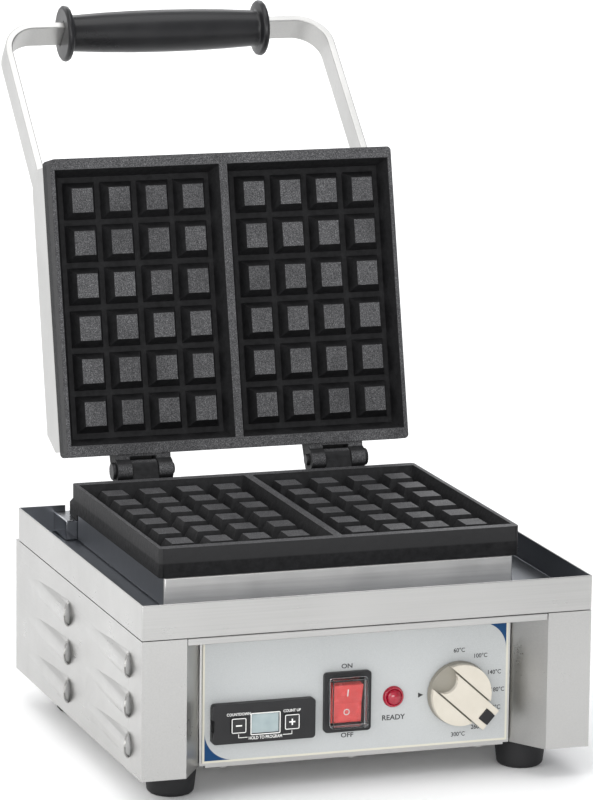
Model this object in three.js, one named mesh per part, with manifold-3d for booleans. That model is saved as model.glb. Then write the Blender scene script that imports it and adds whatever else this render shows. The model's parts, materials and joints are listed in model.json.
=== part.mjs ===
// A single electric waffle iron for two waffles, lid open.
// Millimetres, +Z up. The origin is on the table under the middle of the open iron, the front faces -Y.
import * as THREE from 'three';
import { mergeVertices } from 'three/addons/utils/BufferGeometryUtils.js';
import Module from 'manifold-3d';

const wasm = await Module();
wasm.setup();

// ---------------------------------------------------------------- driving dimensions
const CLEARANCE = 0.3;            // gap between touching pieces
const SHEET = 1.2;                // stainless sheet

// housing
const HOUSING_WIDTH = 305;
const HOUSING_DEPTH = 299;
const HOUSING_HEIGHT = 91.4;
const FOOT_HEIGHT = 20;
const FOOT_RADIUS = 17.5;
const FOOT_TAPER = 2;
const FOOT_BOLT_RADIUS = 3;
const FOOT_INSET_X = 32;
const FOOT_INSET_Y = 41;
const POST_FACE = 29.9;           // flat front face of each corner post
const POST_RETURN = 15.8;         // how far the slanted return runs inwards
const PANEL_RECESS = 25;          // control panel behind the post faces
const RAIL_HEIGHT = 4.5;
const TOP_FLANGE = 12;

// louvers in the side panels
const LOUVER_LENGTH = 104;
const LOUVER_HEIGHT = 18;
const LOUVER_PROUD = 4.6;         // at the mouth, none at the tail
const LOUVER_SWELL = 6.5;         // half thickness of the punch that presses it
const LOUVER_MOUTH_BULGE = 5;     // the cut at the mouth is an arc, bulging forwards
const LOUVER_PITCH = 26.3;
const LOUVER_ROWS = 3;
const LOUVER_COLUMNS = 2;
const LOUVER_LOWEST = 17;         // middle of the lowest louver above the housing's bottom edge
const LOUVER_FRONT_MARGIN = 24;
const LOUVER_COLUMN_PITCH = 140;

// vent slots in the base plate and the rear panel
const VENTS = 5;
const VENT_PITCH = 24;
const VENT_WIDTH = 5;
const VENT_LENGTH = 80;
const VENT_LOW = 30;
const VENT_SHIFT = 34;

// drip tray that closes the housing, and the box that carries the lower plate
const TRAY_DEPTH = 293;
const BAND_HEIGHT = 23.1;
const TRAY_FLOOR_RISE = 5.5;      // trough floor above the band's lower edge
const DECK_RISE = 19.3;           // rear deck top above the band's lower edge
const DECK_MARGIN = 24.5;         // from the band's side to the deck
const DECK_DEPTH = 31;
const NOTCH_MARGIN = 33;          // from the band's side to the cut-out in the rear band
const BOX_OVERHANG_X = 3.5;       // plate beyond the box at each side
const BOX_OVERHANG_Y = 2;
const BOX_LIP = 8;

// grid plates
const PLATE_WIDTH = 247;
const PLATE_DEPTH = 204.2;
const PLATE_HEIGHT = 19.5;
const PLATE_CENTRE_Y = 12.8;
const PLATE_ABOVE_BAND = 22;      // mating plane above the band's top edge
const PLATE_CORNER = 3;
const WAFFLES = 2;
const CELLS_ACROSS = 4;
const CELLS_ALONG = 6;
const SIDE_RIM = 2.9;
const DIVIDER = 5.8;
const END_RIM = 7.6;
const CAVITY_DEPTH = 12;
const CAVITY_TAPER = 4.6;
const PEG_HEIGHT = 10;
const PEG_MARGIN_X = 1.45;        // floor left beside the outer pegs' grooves
const PEG_MARGIN_Y = 2;
const PEG_TAPER_X = 8.6;          // base width less top width
const PEG_TAPER_Y = 9.7;
const GROOVE = 3;
const MATING_GAP = 0.5;           // between the plates with the lid down

// hinge
const HINGE_BACK = 11;            // axis behind the plates' rear edge
const HINGE_RISE = 4;             // axis above the mating plane
const HINGE_SPREAD = 69.8;        // each hinge from the middle
const KNUCKLE_WIDTH = 39.5;
const KNUCKLE_RADIUS = 8;
const TONGUE_WIDTH = 18;
const TONGUE_RADIUS = 7;
const HINGE_GAP = 0.5;
const PIN_RADIUS = 4;
const PIN_CLEARANCE = 0.08;
const PIN_HEAD_RADIUS = 6;
const PIN_HEAD = 2.5;
const APRON_DEPTH = 16;
const APRON_HEIGHT = 13.2;
const APRON_MARGIN = 3;           // plate side to apron end
const LID_LEAN = 13.2;            // open lid, beyond upright

// lid cover and handle
const LID_HEIGHT = 50;            // mating plane to the cover's top
const COVER_END_INSET = 4.2;
const CHAMFER_RUN = 12.6;
const CHAMFER_RISE = 18;
const HANDLE_ANGLE = 35;          // above the mating plane
const HANDLE_DROP = 73.2;         // handle plane from the plates' rear lower edge
const HANDLE_REACH = 317.7;
const HANDLE_FOOT = 158;
const BAR_WIDTH = 19.7;
const BAR_THICK = 5;
const BAR_BEND = 20;              // inside radius
const GRIP_LENGTH = 150;
const GRIP_FLANGE = 20.2;
const GRIP_FLANGE_THICK = 5.5;
const GRIP_END_RADIUS = 12.1;
const GRIP_MIDDLE_RADIUS = 15.2;
const BRACKET_THICK = 3;
const BRACKET_LENGTH = 40;
const BOLT_RADIUS = 2.5;
const BOLT_HEAD_RADIUS = 4.2;
const BOLT_HEAD = 2.4;
const BOLT_END = 6.5;              // first bolt from the arm's end
const BOLT_SPACING = 11;

// heating parts, the same under both plates
const ELEMENT_RADIUS = 4;
const ELEMENT_SIDE_MARGIN = 31.5; // from the plate's side to the outer runs
const ELEMENT_INNER_X = 30;
const ELEMENT_FRONT_MARGIN = 30.1;
const ELEMENT_REAR_MARGIN = 24.1;
const ELEMENT_BEND = 22;
const CLAMP_THICK = 2;
const CLAMP_MARGIN = 16;
const WOOL_THICK = 14;
const PAN_DEPTH = 24;
const PAN_FLANGE = 6;

// controls, measured from the middle of the panel's lower edge
const OVERLAY_THICK = 0.5;
const OVERLAY_MARGIN = 1.8;
const KNOB_X = 69.6;
const KNOB_Z = 36.4;
const KNOB_RADIUS = 21.3;
const KNOB_DISC = 8.4;
const KNOB_CHANNEL = 4.6;         // depth of the groove across the disc
const KNOB_BAR_WIDTH = 16.4;
const KNOB_BAR_RISE = 0.5;
const KNOB_BAR_GROOVE = 1.1;      // shadow line beside the bar
const KNOB_POINTER_REACH = 27;
const KNOB_TAIL = 14;
const KNOB_THUMB_RADIUS = 8.8;    // hollow at the bar's inner end
const KNOB_THUMB_PLACE = 16.2;
const KNOB_AT_REST = -42;         // degrees, pointer above the horizontal
const POINTER_INLAY = 8;
const POINTER_INLAY_WIDTH = 8.6;
const POINTER_INLAY_DEPTH = 4;
const SPINDLE_RADIUS = 3;
const THERMOSTAT_SIZE = [36, 22, 34];
const LAMP_X = 25.2;
const LAMP_Z = 36.7;
const LAMP_RADIUS = 7.2;
const LAMP_DOME_RADIUS = 5.2;
const LAMP_RISE = 5;
const LAMP_BODY_RADIUS = 5;
const SWITCH_X = -7;
const SWITCH_Z = 36.4;
const SWITCH_WIDTH = 32;
const SWITCH_HEIGHT = 39.8;
const SWITCH_RIM = 5.2;
const SWITCH_PROUD = 3;
const SWITCH_BODY_DEPTH = 30;
const ROCKER_TILT = 9;
const COVER_WALL = 1;
const COVER_RISE = 6;
const TIMER_X = -64.4;
const TIMER_Z = 28;
const TIMER_WIDTH = 69.6;
const TIMER_HEIGHT = 26.4;
const TIMER_PROUD = 5;
const TIMER_BODY_DEPTH = 14;
const TIMER_BUTTON = 10.6;
const TIMER_MINUS_X = -17.2;      // from the timer's middle
const TIMER_PLUS_X = 18.8;
const TIMER_KEY_Z = -1.3;
const TIMER_WINDOW = [18.8, 13.2];
const TIMER_WINDOW_X = 0.9;
const KEY_PROUD = 0.6;
const KEY_THICK = 2.4;
const KEY_TRAVEL = 0.8;
const SCREW_MARGIN = 18.8;        // from the panel's end to the outer screws
const SCREW_HEAD_RADIUS = 4.4;
const SCREW_HEAD = 2.9;
const SCREW_RADIUS = 2;
const SCREW_LENGTH = 9;
const GLAND_MARGIN = 57.5;        // from the housing's side
const GLAND_Z = 28;
const GLAND_RADIUS = 9;
const TERMINAL_SIZE = [46, 18, 20];

// ---------------------------------------------------------------- places worked out from them
// Everything is drawn with Y = 0 in the middle of the drip tray, and moved to the origin at the end.
const halfWidth = HOUSING_WIDTH / 2;
const frontY = -TRAY_DEPTH / 2;
const trayRearY = TRAY_DEPTH / 2;
const rearY = frontY + HOUSING_DEPTH;
const bottomZ = FOOT_HEIGHT;
const housingTopZ = bottomZ + HOUSING_HEIGHT;
const bandZ = housingTopZ + CLEARANCE;
const bandTopZ = bandZ + BAND_HEIGHT;
const floorZ = bandZ + TRAY_FLOOR_RISE;
const deckTopZ = bandZ + DECK_RISE;
const panelX = halfWidth - POST_FACE - POST_RETURN;
const panelY = frontY + PANEL_RECESS;
const matingZ = bandTopZ + PLATE_ABOVE_BAND;
const plateBottomZ = matingZ - PLATE_HEIGHT;
const plateX = PLATE_WIDTH / 2;
const plateFrontY = PLATE_CENTRE_Y - PLATE_DEPTH / 2;
const plateRearY = PLATE_CENTRE_Y + PLATE_DEPTH / 2;
const boxX = plateX - BOX_OVERHANG_X;
const boxFrontY = plateFrontY + BOX_OVERHANG_Y;
const boxRearY = plateRearY - BOX_OVERHANG_Y;
const hingeY = plateRearY + HINGE_BACK;
const hingeZ = matingZ + HINGE_RISE;
const lidMatingZ = matingZ + MATING_GAP;
const coverX = plateX;
const coverTopZ = lidMatingZ + LID_HEIGHT;
const armX = coverX - SHEET - CLEARANCE - BAR_THICK / 2;
const controlFaceY = panelY - OVERLAY_THICK - CLEARANCE;
const glandX = halfWidth - GLAND_MARGIN;
const screwSpread = panelX - SCREW_MARGIN;
const degrees = Math.PI / 180;

// ---------------------------------------------------------------- solids
function solid(geometry) {
  const bare = geometry.clone();
  bare.deleteAttribute('normal');
  bare.deleteAttribute('uv');
  const merged = mergeVertices(bare, 1e-4);
  const mesh = new wasm.Mesh({
    numProp: 3,
    vertProperties: new Float32Array(merged.attributes.position.array),
    triVerts: new Uint32Array(merged.index.array),
  });
  return new wasm.Manifold(mesh);
}

function geometryOf(manifold) {
  const mesh = manifold.getMesh();
  const geometry = new THREE.BufferGeometry();
  geometry.setAttribute('position', new THREE.BufferAttribute(mesh.vertProperties, 3));
  geometry.setIndex(new THREE.BufferAttribute(mesh.triVerts, 1));
  geometry.computeVertexNormals();
  return geometry;
}

function box(x0, x1, y0, y1, z0, z1) {
  const geometry = new THREE.BoxGeometry(x1 - x0, y1 - y0, z1 - z0);
  return solid(geometry.translate((x0 + x1) / 2, (y0 + y1) / 2, (z0 + z1) / 2));
}

function outline(points) {
  const shape = new THREE.Shape();
  points.forEach(([a, b], i) => (i ? shape.lineTo(a, b) : shape.moveTo(a, b)));
  shape.closePath();
  return shape;
}

function roundedRectangle(a0, a1, b0, b1, radius) {
  const shape = new THREE.Shape();
  shape.moveTo(a0 + radius, b0);
  shape.lineTo(a1 - radius, b0);
  shape.absarc(a1 - radius, b0 + radius, radius, -Math.PI / 2, 0);
  shape.lineTo(a1, b1 - radius);
  shape.absarc(a1 - radius, b1 - radius, radius, 0, Math.PI / 2);
  shape.lineTo(a0 + radius, b1);
  shape.absarc(a0 + radius, b1 - radius, radius, Math.PI / 2, Math.PI);
  shape.lineTo(a0, b0 + radius);
  shape.absarc(a0 + radius, b0 + radius, radius, Math.PI, 1.5 * Math.PI);
  return shape;
}

const along = {
  x: new THREE.Matrix4().makeBasis(axis(0, 1, 0), axis(0, 0, 1), axis(1, 0, 0)),
  y: new THREE.Matrix4().makeBasis(axis(1, 0, 0), axis(0, 0, 1), axis(0, -1, 0)),
  z: new THREE.Matrix4(),
};

function axis(x, y, z) {
  return new THREE.Vector3(x, y, z);
}

// A shape drawn on the plane across `direction` (Y-Z, X-Z or X-Y) and drawn out from `from` to `to`.
function extrude(shape, direction, from, to, curveSegments = 3) {
  const geometry = new THREE.ExtrudeGeometry(shape, {
    depth: to - from, bevelEnabled: false, curveSegments,
  });
  geometry.translate(0, 0, direction === 'y' ? -to : from);
  return solid(geometry.applyMatrix4(along[direction]));
}

// A round bar from `from` to `to` along an axis; a and b are its centre on the other two axes in order.
function bar(direction, a, b, from, to, radius, endRadius = radius, segments = 16) {
  const geometry = new THREE.CylinderGeometry(endRadius, radius, to - from, segments);
  geometry.translate(0, (from + to) / 2, 0);
  if (direction === 'x') geometry.rotateZ(-Math.PI / 2).translate(0, a, b);
  if (direction === 'y') geometry.translate(a, 0, b);
  if (direction === 'z') geometry.rotateX(Math.PI / 2).translate(a, b, 0);
  return solid(geometry);
}

function frustum(x, y, z0, width0, depth0, z1, width1, depth1) {
  const geometry = new THREE.BoxGeometry(1, 1, 1);
  const place = geometry.attributes.position;
  for (let i = 0; i < place.count; i += 1) {
    const top = place.getZ(i) > 0;
    place.setXYZ(i,
      x + place.getX(i) * (top ? width1 : width0),
      y + place.getY(i) * (top ? depth1 : depth0),
      top ? z1 : z0);
  }
  return solid(geometry);
}

// Parts drawn for the right side serve the left side too.
function mirrored(manifold) {
  return manifold.mirror([1, 0, 0]);
}

// ---------------------------------------------------------------- materials
function finish(color, roughness, metalness) {
  return new THREE.MeshStandardMaterial({ color, roughness, metalness });
}

const stainless = finish(0xcfcfca, 0.38, 0.9);
const castIron = finish(0x2a2a2c, 0.8, 0.3);
const steel = finish(0x9a9b9c, 0.45, 0.9);
const blackPlastic = finish(0x1c1c1d, 0.5, 0);
const rubber = finish(0x202021, 0.85, 0);
const creamPlastic = finish(0xdcd3c2, 0.5, 0);
const redPlastic = finish(0xd2303a, 0.3, 0);
const redLens = finish(0xb00824, 0.15, 0);
const clearPlastic = finish(0xdfe6e8, 0.1, 0);
const overlayFilm = finish(0xc3c7c8, 0.5, 0);
const displayGlass = finish(0x9fb0b2, 0.2, 0);
const mineralWool = finish(0xb9ae86, 1, 0);
const circuitGreen = finish(0x1f5a3a, 0.6, 0);
const copper = finish(0xb87333, 0.4, 0.9);

const wholeIron = new THREE.Group();
const lid = new THREE.Group();
lid.position.set(0, hingeY, hingeZ);
lid.rotation.x = -(90 + LID_LEAN) * degrees;
wholeIron.add(lid);

function add(name, manifold, material, group = wholeIron) {
  const geometry = geometryOf(manifold);
  if (group === lid) geometry.translate(0, -hingeY, -hingeZ);
  const mesh = new THREE.Mesh(geometry, material);
  mesh.name = name;
  group.add(mesh);
}

// ---------------------------------------------------------------- housing
// A louver is pressed outwards by a long round punch that leans, so it fades out towards the rear. Its
// mouth faces the front, where the sheet is cut along an arc.
function louverPunch(shrink) {
  const halfLength = LOUVER_LENGTH * 0.75;
  const lean = Math.atan(LOUVER_PROUD / LOUVER_LENGTH) / degrees;
  return bar('y', 0, 0, -halfLength, 2 * halfLength, 1, 1, 20)
    .scale([LOUVER_SWELL - shrink, 1, LOUVER_HEIGHT / 2 + 0.6 - shrink]).rotate([0, 0, lean])
    .translate([halfWidth - LOUVER_SWELL + LOUVER_PROUD, 0, 0]);
}

function louverOutline() {
  const half = LOUVER_HEIGHT / 2;
  const radius = (half * half + LOUVER_MOUTH_BULGE * LOUVER_MOUTH_BULGE) / (2 * LOUVER_MOUTH_BULGE);
  const reach = Math.asin(half / radius);
  const shape = new THREE.Shape();
  shape.moveTo(LOUVER_LENGTH, -half);
  shape.lineTo(LOUVER_LENGTH, half);
  shape.lineTo(LOUVER_MOUTH_BULGE, half);
  shape.absarc(radius, 0, radius, Math.PI - reach, Math.PI + reach, false);
  return shape;
}

function louverStarts() {
  const starts = [];
  for (let column = 0; column < LOUVER_COLUMNS; column += 1) {
    const y = frontY + LOUVER_FRONT_MARGIN + column * LOUVER_COLUMN_PITCH;
    for (let row = 0; row < LOUVER_ROWS; row += 1) {
      starts.push([y, bottomZ + LOUVER_LOWEST + row * LOUVER_PITCH]);
    }
  }
  return starts;
}

function sidePanel() {
  const innerX = halfWidth - SHEET;
  let panel = box(innerX, halfWidth, frontY, rearY, bottomZ, housingTopZ);
  const reach = [innerX - 1, halfWidth + LOUVER_PROUD + 1];
  const pressed = louverPunch(0).intersect(extrude(louverOutline(), 'x', reach[0], reach[1], 5))
    .intersect(box(innerX, halfWidth + 20, -50, 200, -50, 50));
  const cut = extrude(louverOutline(), 'x', reach[0] - 1, reach[1], 5).translate([0, -CLEARANCE, 0]);
  const hollow = louverPunch(SHEET).intersect(cut);
  for (const [y, z] of louverStarts()) {
    panel = panel.add(pressed.translate([0, y, z])).subtract(hollow.translate([0, y, z]));
  }
  const slant = Math.hypot(POST_RETURN, PANEL_RECESS);
  const nx = (PANEL_RECESS / slant) * SHEET;
  const ny = (POST_RETURN / slant) * SHEET;
  const foldX = halfWidth - POST_FACE;
  const post = outline([
    [halfWidth, frontY], [halfWidth, frontY + SHEET], [foldX + nx / 2, frontY + SHEET],
    [panelX + nx, panelY + ny - SHEET], [panelX + nx, panelY + ny + SHEET],
    [panelX, panelY + SHEET], [panelX, panelY], [foldX, frontY],
  ]);
  panel = panel.add(extrude(post, 'z', bottomZ, housingTopZ));
  panel = panel.add(box(halfWidth - TOP_FLANGE, halfWidth, frontY + PANEL_RECESS, rearY,
    housingTopZ - SHEET, housingTopZ));
  return panel;
}

const rightSide = sidePanel();
add('side_panel_right', rightSide, stainless);
add('side_panel_left', mirrored(rightSide), stainless);

// The front rail is a folded strip over the recess, between the two posts.
const railX = halfWidth - POST_FACE - CLEARANCE;
add('front_rail', extrude(outline([
  [frontY, housingTopZ], [frontY, housingTopZ - RAIL_HEIGHT],
  [frontY + SHEET, housingTopZ - RAIL_HEIGHT], [frontY + SHEET, housingTopZ - SHEET],
  [panelY - CLEARANCE, housingTopZ - SHEET], [panelY - CLEARANCE, housingTopZ],
]), 'x', -railX, railX).subtract(postWedges()), stainless);

// The strip is cut back at the slanted returns.
function postWedges() {
  const reach = 3 * CLEARANCE;
  const wedge = extrude(outline([
    [railX, frontY - 1], [railX - reach / 2, frontY], [panelX - reach, panelY + 1],
    [halfWidth, panelY + 1], [halfWidth, frontY - 1],
  ]), 'z', bottomZ, housingTopZ + 1);
  return wedge.add(mirrored(wedge));
}

const insideX = halfWidth - SHEET - CLEARANCE;
const baseFrontY = panelY + 4;
const footPlaces = [];
for (const [endName, y] of [['front', frontY + FOOT_INSET_Y], ['rear', trayRearY - FOOT_INSET_Y]]) {
  for (const [sideName, side] of [['left', -1], ['right', 1]]) {
    footPlaces.push({ name: `${endName}_${sideName}`, x: side * (halfWidth - FOOT_INSET_X), y });
  }
}

function basePlate() {
  const top = bottomZ + SHEET;
  let plate = box(-insideX, insideX, baseFrontY, rearY - SHEET - CLEARANCE, bottomZ, top);
  for (const side of [-1, 1]) {
    const lip = side > 0 ? [insideX - SHEET, insideX] : [-insideX, -insideX + SHEET];
    plate = plate.add(box(lip[0], lip[1], baseFrontY, rearY - SHEET - CLEARANCE, bottomZ, bottomZ + 9));
  }
  for (const foot of footPlaces) {
    plate = plate.subtract(bar('z', foot.x, foot.y, bottomZ - 1, top + 1,
      FOOT_BOLT_RADIUS + CLEARANCE, FOOT_BOLT_RADIUS + CLEARANCE, 8));
  }
  for (let i = 0; i < VENTS; i += 1) {
    const x = (i - (VENTS - 1) / 2) * VENT_PITCH;
    const slot = roundedRectangle(x - VENT_WIDTH / 2, x + VENT_WIDTH / 2, -VENT_LENGTH / 2,
      VENT_LENGTH / 2, VENT_WIDTH / 2 - 0.1);
    plate = plate.subtract(extrude(slot, 'z', bottomZ - 1, top + 1, 2));
  }
  return plate;
}
add('base_plate', basePlate(), stainless);

function rearPanel() {
  let panel = box(-insideX, insideX, rearY - SHEET, rearY, bottomZ, housingTopZ - SHEET - CLEARANCE);
  panel = panel.subtract(bar('y', glandX, bottomZ + GLAND_Z, rearY - 5, rearY + 5,
    GLAND_RADIUS + CLEARANCE));
  for (let i = 0; i < VENTS; i += 1) {
    const x = (i - (VENTS - 1) / 2) * VENT_PITCH - VENT_SHIFT;
    const slot = roundedRectangle(x - VENT_WIDTH / 2, x + VENT_WIDTH / 2, bottomZ + VENT_LOW,
      housingTopZ - VENT_LOW, VENT_WIDTH / 2 - 0.1);
    panel = panel.subtract(extrude(slot, 'y', rearY - 5, rearY + 5, 2));
  }
  return panel;
}
add('rear_panel', rearPanel(), stainless);

// ---------------------------------------------------------------- feet
for (const foot of footPlaces) {
  const round = 3;
  const profile = [
    [0, 0], [FOOT_RADIUS - FOOT_TAPER - round, 0], [FOOT_RADIUS - FOOT_TAPER - 0.9, 0.9],
    [FOOT_RADIUS - FOOT_TAPER, round], [FOOT_RADIUS, FOOT_HEIGHT - CLEARANCE], [0, FOOT_HEIGHT - CLEARANCE],
  ].map(([r, z]) => new THREE.Vector2(r, z));
  const lathe = new THREE.LatheGeometry(profile, 18).rotateX(Math.PI / 2).translate(foot.x, foot.y, 0);
  const well = bar('z', foot.x, foot.y, -1, FOOT_HEIGHT - 8, 6.5, 6.5, 12);
  const bore = bar('z', foot.x, foot.y, -1, FOOT_HEIGHT, FOOT_BOLT_RADIUS + 0.2, FOOT_BOLT_RADIUS + 0.2, 8);
  add(`foot_${foot.name}`, solid(lathe).subtract(well).subtract(bore), rubber);
  const head = bar('z', foot.x, foot.y, FOOT_HEIGHT - 12 - CLEARANCE, FOOT_HEIGHT - 8 - CLEARANCE,
    5.5, 5.5, 6);
  const shank = bar('z', foot.x, foot.y, FOOT_HEIGHT - 9, bottomZ + SHEET + 7,
    FOOT_BOLT_RADIUS - 0.1, FOOT_BOLT_RADIUS - 0.1, 8);
  add(`foot_screw_${foot.name}`, head.add(shank), steel);
}

// ---------------------------------------------------------------- control panel
const panelTopZ = housingTopZ - SHEET - CLEARANCE;
const panelInnerX = panelX - CLEARANCE - 0.3;
const keyMinusX = TIMER_X + TIMER_MINUS_X;
const keyPlusX = TIMER_X + TIMER_PLUS_X;
const keyZ = bottomZ + TIMER_Z + TIMER_KEY_Z;

function controlHoles(margin, depth0, depth1) {
  const timerHalf = [TIMER_WIDTH / 2 - 4 + margin, TIMER_HEIGHT / 2 - 3 + margin];
  const switchHalf = [SWITCH_WIDTH / 2 - 3 + margin, SWITCH_HEIGHT / 2 - 3 + margin];
  const timer = box(TIMER_X - timerHalf[0], TIMER_X + timerHalf[0], depth0, depth1,
    bottomZ + TIMER_Z - timerHalf[1], bottomZ + TIMER_Z + timerHalf[1]);
  const rocker = box(SWITCH_X - switchHalf[0], SWITCH_X + switchHalf[0], depth0, depth1,
    bottomZ + SWITCH_Z - switchHalf[1], bottomZ + SWITCH_Z + switchHalf[1]);
  const lamp = bar('y', LAMP_X, bottomZ + LAMP_Z, depth0, depth1, LAMP_BODY_RADIUS + margin);
  const spindle = bar('y', KNOB_X, bottomZ + KNOB_Z, depth0, depth1, SPINDLE_RADIUS + 1 + margin);
  return timer.add(rocker).add(lamp).add(spindle);
}

function controlPanel() {
  let panel = box(-panelInnerX, panelInnerX, panelY, panelY + SHEET, bottomZ, panelTopZ);
  panel = panel.subtract(controlHoles(CLEARANCE, panelY - 5, panelY + 5));
  const lipBack = baseFrontY + 12;
  const lip = box(-panelInnerX + 4, panelInnerX - 4, panelY, lipBack,
    bottomZ - SHEET - CLEARANCE, bottomZ - CLEARANCE);
  const web = box(-panelInnerX + 4, panelInnerX - 4, panelY, panelY + SHEET,
    bottomZ - SHEET - CLEARANCE, bottomZ + 2);
  panel = panel.add(lip).add(web);
  for (const x of [-screwSpread, 0, screwSpread]) {
    panel = panel.subtract(bar('z', x, baseFrontY + 5, bottomZ - 5, bottomZ, SCREW_RADIUS + CLEARANCE));
  }
  return panel;
}
add('control_panel', controlPanel(), stainless);

const overlayX = panelInnerX - OVERLAY_MARGIN;
add('control_overlay', box(-overlayX, overlayX, panelY - CLEARANCE - OVERLAY_THICK, panelY - CLEARANCE,
  bottomZ + OVERLAY_MARGIN, panelTopZ - OVERLAY_MARGIN)
  .subtract(controlHoles(CLEARANCE, panelY - 5, panelY + 5)), overlayFilm);

// Three round-head screws come up through the panel's bottom lip.
['left', 'middle', 'right'].forEach((name, i) => {
  const x = (i - 1) * screwSpread;
  const y = baseFrontY + 5;
  const headTop = bottomZ - SHEET - 2 * CLEARANCE;
  const dome = new THREE.SphereGeometry(1, 14, 8).rotateX(Math.PI / 2)
    .scale(SCREW_HEAD_RADIUS, SCREW_HEAD_RADIUS, SCREW_HEAD).translate(x, y, headTop);
  const head = solid(dome).intersect(box(x - 9, x + 9, y - 9, y + 9, headTop - 9, headTop));
  const shank = bar('z', x, y, headTop - 1, bottomZ - CLEARANCE, SCREW_RADIUS, SCREW_RADIUS, 10);
  add(`panel_screw_${name}`, head.add(shank), steel);
});

// ---------------------------------------------------------------- thermostat and knob
const knobZ = bottomZ + KNOB_Z;
const thermostatFrontY = panelY + SHEET + CLEARANCE;
const [thermostatWidth, thermostatDepth, thermostatHeight] = THERMOSTAT_SIZE;
add('thermostat_body', box(KNOB_X - thermostatWidth / 2, KNOB_X + thermostatWidth / 2, thermostatFrontY,
  thermostatFrontY + thermostatDepth, knobZ - thermostatHeight / 2, knobZ + thermostatHeight / 2)
  .subtract(bar('y', KNOB_X, knobZ, thermostatFrontY - 1, thermostatFrontY + 8, SPINDLE_RADIUS + CLEARANCE)),
steel);
add('thermostat_spindle', bar('y', KNOB_X, knobZ, controlFaceY - 5, thermostatFrontY + 7, SPINDLE_RADIUS,
  SPINDLE_RADIUS, 16), steel);

const knobBackY = controlFaceY - 1;
const knobFaceY = knobBackY - KNOB_DISC;
const knobBarY = knobFaceY - KNOB_BAR_RISE;

// Drawn with the pointer along +X, then turned to where it rests.
function turnedKnob(manifold) {
  return manifold.translate([0, 0, -knobZ]).translate([-KNOB_X, 0, 0])
    .rotate([0, -KNOB_AT_REST, 0]).translate([KNOB_X, 0, knobZ]);
}

function knobBody() {
  let knob = bar('y', KNOB_X, knobZ, knobFaceY, knobBackY, KNOB_RADIUS - 0.8, KNOB_RADIUS, 36);
  const half = KNOB_BAR_WIDTH / 2;
  const edge = half + KNOB_BAR_GROOVE;
  knob = knob.subtract(box(KNOB_X - KNOB_RADIUS - 1, KNOB_X + KNOB_RADIUS + 1, knobFaceY - 1,
    knobFaceY + KNOB_CHANNEL, knobZ - edge, knobZ + edge));
  const grip = box(KNOB_X - KNOB_TAIL, KNOB_X + KNOB_POINTER_REACH, knobBarY, knobBackY - 1,
    knobZ - half, knobZ + half);
  const thumb = bar('y', KNOB_X - KNOB_THUMB_PLACE, knobZ, knobFaceY - 9, knobFaceY + KNOB_CHANNEL,
    KNOB_THUMB_RADIUS, KNOB_THUMB_RADIUS, 28);
  knob = knob.add(grip.subtract(thumb));
  const tip = KNOB_X + KNOB_POINTER_REACH;
  knob = knob.subtract(box(tip - POINTER_INLAY, tip + 1, knobBarY - 1, knobBarY + POINTER_INLAY_DEPTH,
    knobZ - POINTER_INLAY_WIDTH / 2, knobZ + POINTER_INLAY_WIDTH / 2));
  const bore = bar('y', KNOB_X, knobZ, controlFaceY - 5 - CLEARANCE, knobBackY + 1,
    SPINDLE_RADIUS + CLEARANCE, SPINDLE_RADIUS + CLEARANCE, 16);
  return turnedKnob(knob.subtract(bore));
}
add('thermostat_knob', knobBody(), creamPlastic);

const inlayHalf = POINTER_INLAY_WIDTH / 2 - CLEARANCE;
const inlayTip = KNOB_X + KNOB_POINTER_REACH;
add('knob_pointer_inlay', turnedKnob(box(inlayTip - POINTER_INLAY + CLEARANCE, inlayTip,
  knobBarY - 0.2, knobBarY + POINTER_INLAY_DEPTH - CLEARANCE, knobZ - inlayHalf, knobZ + inlayHalf)),
blackPlastic);

// ---------------------------------------------------------------- indicator lamp
const lampZ = bottomZ + LAMP_Z;
const lampFlangeY = controlFaceY - 2;
function lampLens() {
  const flange = bar('y', LAMP_X, lampZ, lampFlangeY, controlFaceY, LAMP_RADIUS - 0.6, LAMP_RADIUS, 24);
  const dome = new THREE.SphereGeometry(1, 16, 8)
    .scale(LAMP_DOME_RADIUS, LAMP_RISE - 2, LAMP_DOME_RADIUS).translate(LAMP_X, lampFlangeY + 0.2, lampZ);
  const front = box(LAMP_X - 20, LAMP_X + 20, lampFlangeY - 20, lampFlangeY + 0.1, lampZ - 20, lampZ + 20);
  return flange.add(solid(dome).intersect(front));
}
add('lamp_lens', lampLens(), redLens);
add('lamp_body', bar('y', LAMP_X, lampZ, controlFaceY + CLEARANCE, panelY + 24, LAMP_BODY_RADIUS,
  LAMP_BODY_RADIUS - 0.6, 24), blackPlastic);

// ---------------------------------------------------------------- power switch
const switchZ = bottomZ + SWITCH_Z;
const bezelFaceY = controlFaceY - SWITCH_PROUD;
const rockerHalfX = SWITCH_WIDTH / 2 - SWITCH_RIM;
const rockerHalfZ = SWITCH_HEIGHT / 2 - SWITCH_RIM;
const holeX = rockerHalfX + CLEARANCE;
const holeZ = rockerHalfZ + CLEARANCE + 0.2;
const rockerPivotY = controlFaceY + 8;

function switchBezel() {
  const outer = roundedRectangle(SWITCH_X - SWITCH_WIDTH / 2, SWITCH_X + SWITCH_WIDTH / 2,
    switchZ - SWITCH_HEIGHT / 2, switchZ + SWITCH_HEIGHT / 2, 2.5);
  const bodyX = SWITCH_WIDTH / 2 - 3;
  const bodyZ = SWITCH_HEIGHT / 2 - 3;
  return extrude(outer, 'y', bezelFaceY, controlFaceY, 4)
    .add(box(SWITCH_X - bodyX, SWITCH_X + bodyX, controlFaceY - 1, panelY + SWITCH_BODY_DEPTH,
      switchZ - bodyZ, switchZ + bodyZ))
    .subtract(box(SWITCH_X - holeX, SWITCH_X + holeX, bezelFaceY - 1, panelY + 16,
      switchZ - holeZ, switchZ + holeZ));
}
add('switch_body', switchBezel(), blackPlastic);

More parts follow.
